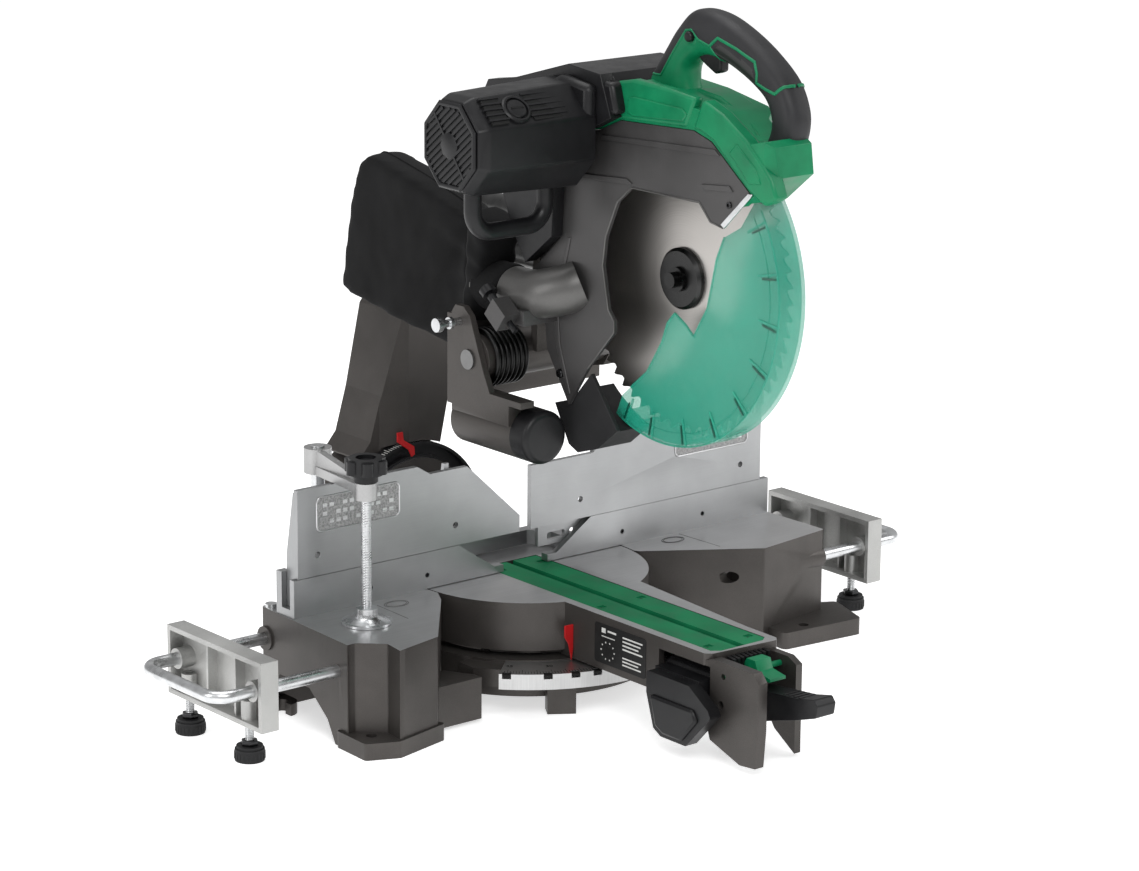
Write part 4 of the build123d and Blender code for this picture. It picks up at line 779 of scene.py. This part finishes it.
# The guard's slits are near-opaque dark green bars: painted shade seen through the openings.
merged("guard_slots", slots, tinted("guard_slot_shade", (0.0, 0.07, 0.045), 0.95), "guard")
for radius, thick in ((160.2, 0.9), (147.5, 0.5)):
    arc = [BLADE + Vector((-0.0242, radius * MM * math.cos(a), radius * MM * math.sin(a)))
           for a in (math.radians(degree) for degree in range(GUARD_FROM, GUARD_TO, 3))]
    wire(f"guard_rim_{int(radius)}", arc, thick * MM, LOOK["guard_green"], "guard", 8)
GUARD_EDGE = [(-322, 402), (-312, 380), (-300, 330), (-281, 299), (-268, 309), (-253, 317),
              (-243, 306), (-235, 285), (-214, 252), (-190, 232)]
wire("guard_lip", [at(-23.6, y, z) for y, z in GUARD_EDGE], 0.0011, LOOK["guard_green"], "guard",
     8)

# ---------------------------------------------------------------- mitre and bevel scales
SCALE_TOP = TABLE - 0.058
SCALE_RADIUS = 0.1738


def heading(degree):
    """Unit vectors outwards and sideways at a mitre angle, 0 being straight to the front."""
    a = math.radians(degree - 90)
    return Vector((math.cos(a), math.sin(a), 0)), Vector((-math.sin(a), math.cos(a), 0))


ticks = []
for degree in range(-46, 56):
    out, turn = heading(degree)
    inner = 0.163 if degree % 5 == 0 else 0.1675
    height = Vector((0, 0, SCALE_TOP + 0.0001))
    ticks.append(bar(out * inner + height, out * SCALE_RADIUS + height, turn * 0.00022,
                     Vector((0, 0, 0.0001))))
merged("mitre_scale_marks", ticks, INK, "base", 0)
# The detent notches are near-black bars of painted shade sunk into the scale rim.
notches = []
for degree in (-45, -31.6, -22.5, -15, 0, 15, 22.5, 31.6, 45):
    out, turn = heading(degree)
    low = Vector((0, 0, SCALE_TOP - 0.002))
    notches.append(bar(out * 0.1698 + low, out * 0.1778 + low, turn * 0.0044, Vector((0, 0, 0.0012))))
merged("detent_notches", notches, RECESS_SHADE, "base", 0)
for degree in range(-45, 46, 15):
    font = bpy.data.curves.new("digits", "FONT")
    font.body = str(abs(degree))
    font.size = 0.0075
    font.align_x = "CENTER"
    font.extrude = 0.00005
    digits = bpy.data.objects.new(f"scale_number_{degree + 60}", font)
    bpy.context.scene.collection.objects.link(digits)
    font.materials.append(INK)
    place = heading(degree)[0] * 0.154 + Vector((0, 0, SCALE_TOP + 0.0003))
    digits.matrix_world = Matrix.Translation(place) @ Matrix.Rotation(math.radians(degree), 4, "Z")
    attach(digits, "base")
marks = []
for degree in range(-48, 49, 2):
    a = math.radians(90 - degree)
    out = Vector((math.cos(a), 0, math.sin(a)))
    turn = Vector((-math.sin(a), 0, math.cos(a)))
    near = Vector((0, 0.1925, TABLE)) + out * 0.0921
    far = near + Vector((0, 0.006 if degree % 10 else 0.010, 0))
    marks.append(bar(near, far, turn * 0.00035, out * 0.0001))
merged("bevel_scale_marks", marks, WHITE, "turntable", 0)

# ---------------------------------------------------------------- arm label, with bars for print
slab("arm_label", [(-167, -8), (-241, -8), (-243, -10), (-243, -47), (-241, -49), (-167, -49),
                   (-165, -47), (-165, -10)],
     -45.5, -44.9, INK, "turntable", 0.0002)
bars = [(-176, -182, -12, -17), (-185, -198, -13, -15), (-176, -196, -20, -21)]
bars += [(-208, -238 + 3 * (i % 3), -14 - 4 * i, -15.6 - 4 * i) for i in range(4)]
bars += [(-208, -236 + 4 * (i % 2), -35 - 3.6 * i, -36.4 - 3.6 * i) for i in range(3)]
for a in circle(10):
    y, z = -186 + 10 * math.cos(a), -34 + 9 * math.sin(a)
    bars.append((y, y + 1.4, z, z - 1.5))
prints = [[[at(x, y0, z0), at(x, y1, z0), at(x, y1, z1), at(x, y0, z1)] for x in (-45.62, -45.45)]
          for y0, y1, z0, z1 in bars]
merged("arm_label_print", prints, WHITE, "turntable", 0)

# ---------------------------------------------------------------- table marks and insert screws
scribe = plastic("scribe_dark", (0.12, 0.12, 0.12), 0.5)
for side_name, x, y, a, b in (("left", -182, -20, (-200, -12), (-202, -66)),
                              ("right", 184, -18, (204, -5), (207, -67))):
    for label, wide, deep, height, radius in (("", 13.5, 9, 0.05, 0.0005),
                                              ("_inner", 11.5, 7.4, 0.02, 0.0004)):
        ring = [at(x + wide * math.cos(t), y + deep * math.sin(t), height) for t in circle(40)]
        wire(f"table_ring{label}_{side_name}", ring, radius, scribe, "base", 8, True)
    line = bar(at(*a, 0.03), at(*b, 0.03), Vector((0.0005, 0, 0)), Vector((0, 0, 0.00008)))
    piece(f"table_line_{side_name}", from_rings(line), scribe, "base", 0)
for x in (-26, 26):
    for y in (8, -152, -312):
        lathe(f"insert_screw_{x + 26}_{-y + 8}", [(3.2, 0), (3.2, 0.8), (2.4, 1.4), (0.8, 1.4), (0.6, 0.6)],
              at(x, y, -3.4), (0, 0, 1), SCREW, "turntable", 20)

# ---------------------------------------------------------------- fence panels
PANEL_LOW, PANEL_HIGH, PANEL_ROUND = 84, 119, 6
rough = Nodes("cast_recess")
grainy = rough.noise(420, 4.0)
rough.set(Base_Color=rough.ramp(grainy, [(0.35, (0.24, 0.24, 0.24)), (0.65, (0.46, 0.46, 0.46))]),
          Metallic=0.9, Roughness=0.55)
rough.bump(grainy, 1.0, 0.0008)


def panel_outline(x0, x1):
    """Rounded rectangle of (x, z)."""
    r = PANEL_ROUND
    high, low = PANEL_HIGH - r, PANEL_LOW + r
    points = []
    for cx, cz, start in ((x1 - r, high, 0), (x0 + r, high, 90), (x0 + r, low, 180), (x1 - r, low, 270)):
        for i in range(7):
            a = math.radians(start + 15 * i)
            points.append((cx + r * math.cos(a), cz + r * math.sin(a)))
    return points


for side_name, x0, x1, body in (("left", -264, -163, "fence_left"), ("right", 201, 303, "fence_right")):
    outline = panel_outline(x0, x1)
    rings = [[at(x, y, z) for x, z in outline] for y in (-0.1, 0.3)]
    rounding(piece(f"fence_panel_{side_name}", from_rings(rings), rough.mat, body, 35), 0.0001)
    wire(f"fence_panel_rim_{side_name}", [at(x, -0.1, z) for x, z in outline], 0.0009,
         LOOK["machined"], body, 8, True)
    studs = []
    for row in range(3):
        for col in range(11):
            if (row * 7 + col * 5) % 4:
                cx, cz = x0 + 10 + col * 8.1, 93 + row * 8.5
                corners = [(cx - 2.6, cz - 2), (cx + 2.6, cz - 2), (cx + 2.6, cz + 2), (cx - 2.6, cz + 2)]
                studs.append([[at(x, y, z) for x, z in corners] for y in (-0.1, -0.5)])
    merged(f"fence_panel_studs_{side_name}", studs, LOOK["machined"], body, 0)
for x in (-198.5, -128, 129, 241):
    lathe(f"fence_screw_{int(x) + 300}", [(2.5, 0), (2.5, 1.6), (1.4, 1.6), (1.2, 0.6)],
          at(x, 2.6, 15), (0, -1, 0), SCREW, "base", 18)

# ---------------------------------------------------------------- vise and feet
VISE_X, VISE_Y = -242, -52
thread("vise_thread", VISE_X, VISE_Y, 17, 125, 5.35, 2.6, "vise_spindle")
lathe("vise_pad_dome", [(24.6, 0.4), (24.8, 2.0), (20, 4.4), (13, 6.2), (11, 8.5), (10.4, 15.8),
                        (6.4, 16.4)],
      at(VISE_X, VISE_Y, 0), (0, 0, 1), LOOK["zinc"], "vise_clamp", 48)
NUT = [(8.2, 0), (8.6, 0.6), (8.6, 4.6), (8.2, 5.2), (4.3, 5.2)]
PAD_TURNED = [(13.4, 0.2), (14.7, 1.2), (14.9, 9.5), (13.8, 12.2), (9, 13.4), (4.2, 13.6)]
for side_name, x in (("left", -388), ("right", 406)):
    for end, y in (("front", -60), ("rear", 42)):
        foot = f"foot_{side_name[0]}{end[0]}"
        label = f"{side_name}_{end}"
        thread("foot_thread_" + label, x, y, FLOOR + 15, FLOOR + 36.6, 4.4, 1.8, foot,
               0.4, 20)
        lathe("foot_nut_" + label, NUT, at(x, y, FLOOR + 15), (0, 0, 1), SCREW, foot, 6)
        lathe("foot_rubber_" + label, PAD_TURNED, at(x, y, FLOOR), (0, 0, 1), LOOK["rubber_black"],
              foot, 48)
        ribs = []
        for a in circle(24):
            out = Vector((math.cos(a), math.sin(a), 0))
            ribs.append(bar(at(x, y, FLOOR + 2) + out * 0.0148, at(x, y, FLOOR + 9) + out * 0.0148,
                            Vector((-out.y, out.x, 0)) * 0.0007, out * 0.0004))
        merged("foot_ribs_" + label, ribs, LOOK["rubber_black"], foot, 0)

# ---------------------------------------------------------------- levers and buttons at the front
knuckle = []
for i in range(9):
    a = math.radians(100 + 20 * i)
    out = Vector((math.cos(a), 0, math.sin(a)))
    front = at(-27, -333, -32) + out * 0.0122
    rear = at(-27, -268, -32) + out * 0.0122
    knuckle.append(bar(front, rear, Vector((-out.z, 0, out.x)) * 0.0013, out * 0.0009))
merged("lever_knuckle_ribs", knuckle, LOOK["black_plastic"], "bevel_lock", 0)
slab("lever_paddle_face", [(-276, -50), (-284, -80), (-296, -86), (-322, -86), (-345, -60),
                           (-338, -50)],
     -69.5, -64, LOOK["black_plastic"], "bevel_lock", 0.003)
button = []
for i in range(9):
    x0, x1 = -23.7 + 5.5 * i, -20.3 + 5.5 * i
    button.append([[at(x0, y, low), at(x1, y, low), at(x1, y, high), at(x0, y, high)]
                   for y, low, high in ((-337, -20, -5), (-347, -18, -6))])
merged("front_button_ribs", button, LOOK["black_plastic"], "turntable")
ridges = []
for i in range(6):
    y, z = -404 - 7 * i, -29.4 + 0.72 * i
    ridges.append(bar(at(-10, y, z), at(10, y, z), Vector((0, 0.0014, 0)), Vector((0, 0, 0.001))))
merged("mitre_handle_ridges", ridges, LOOK["black_plastic"], "handle_mitre", 0)

# ---------------------------------------------------------------- camera, floor and lights
CAMERA = Vector((-2.301, -2.861, 1.214))
TARGET = Vector((0.0371, -0.0231, 0.2457))
ROLL = math.radians(0.463)
FLOOR_HALF = 12
LIT = (0, 0, 0.3)                         # what the soft lights face


def aimed(place, target):
    """Placement of a camera or lamp that looks at a target."""
    turn = (Vector(target) - Vector(place)).to_track_quat("-Z", "Y").to_matrix().to_4x4()
    return Matrix.Translation(place) @ turn


lens = bpy.data.cameras.new("view")
lens.lens = 117.6
lens.sensor_width = 36
lens.clip_start = 0.1
lens.clip_end = 60
camera = bpy.data.objects.new("view", lens)
bpy.context.scene.collection.objects.link(camera)
camera.matrix_world = aimed(CAMERA, TARGET) @ Matrix.Rotation(ROLL, 4, "Z")
bpy.context.scene.camera = camera

corners = [(-1, -1), (1, -1), (1, 1), (-1, 1)]
ground = bpy.data.meshes.new("floor")
ground.from_pydata([(x * FLOOR_HALF, y * FLOOR_HALF, 0) for x, y in corners], [], [(0, 1, 2, 3)])
floor = bpy.data.objects.new("floor", ground)
bpy.context.scene.collection.objects.link(floor)
paper = Nodes("floor_paper")
paper.set(Base_Color=(0.9, 0.9, 0.9, 1), Roughness=0.8, Emission_Color=(1, 1, 1, 1),
          Emission_Strength=0.6)
floor.data.materials.append(paper.mat)

world = bpy.data.worlds.new("studio")
world.use_nodes = True
world.node_tree.nodes["Background"].inputs["Color"].default_value = (1, 1, 1, 1)
world.node_tree.nodes["Background"].inputs["Strength"].default_value = 0.42
bpy.context.scene.world = world
bpy.context.scene.view_settings.view_transform = "Standard"

for name, place, size, power in (("key", (-1.6, -2.4, 2.6), (1.6, 1.2), 44),
                                 ("left", (-3.0, 0.2, 1.5), (0.9, 1.8), 20),
                                 ("right", (2.4, -1.6, 1.6), (0.9, 1.8), 20),
                                 ("top", (0, 0.4, 3.0), (2.4, 1.6), 36)):
    lamp = bpy.data.lights.new(name, "AREA")
    lamp.shape = "RECTANGLE"
    lamp.size, lamp.size_y = size
    lamp.energy = power
    softbox = bpy.data.objects.new(name, lamp)
    softbox.matrix_world = aimed(place, LIT)
    bpy.context.scene.collection.objects.link(softbox)
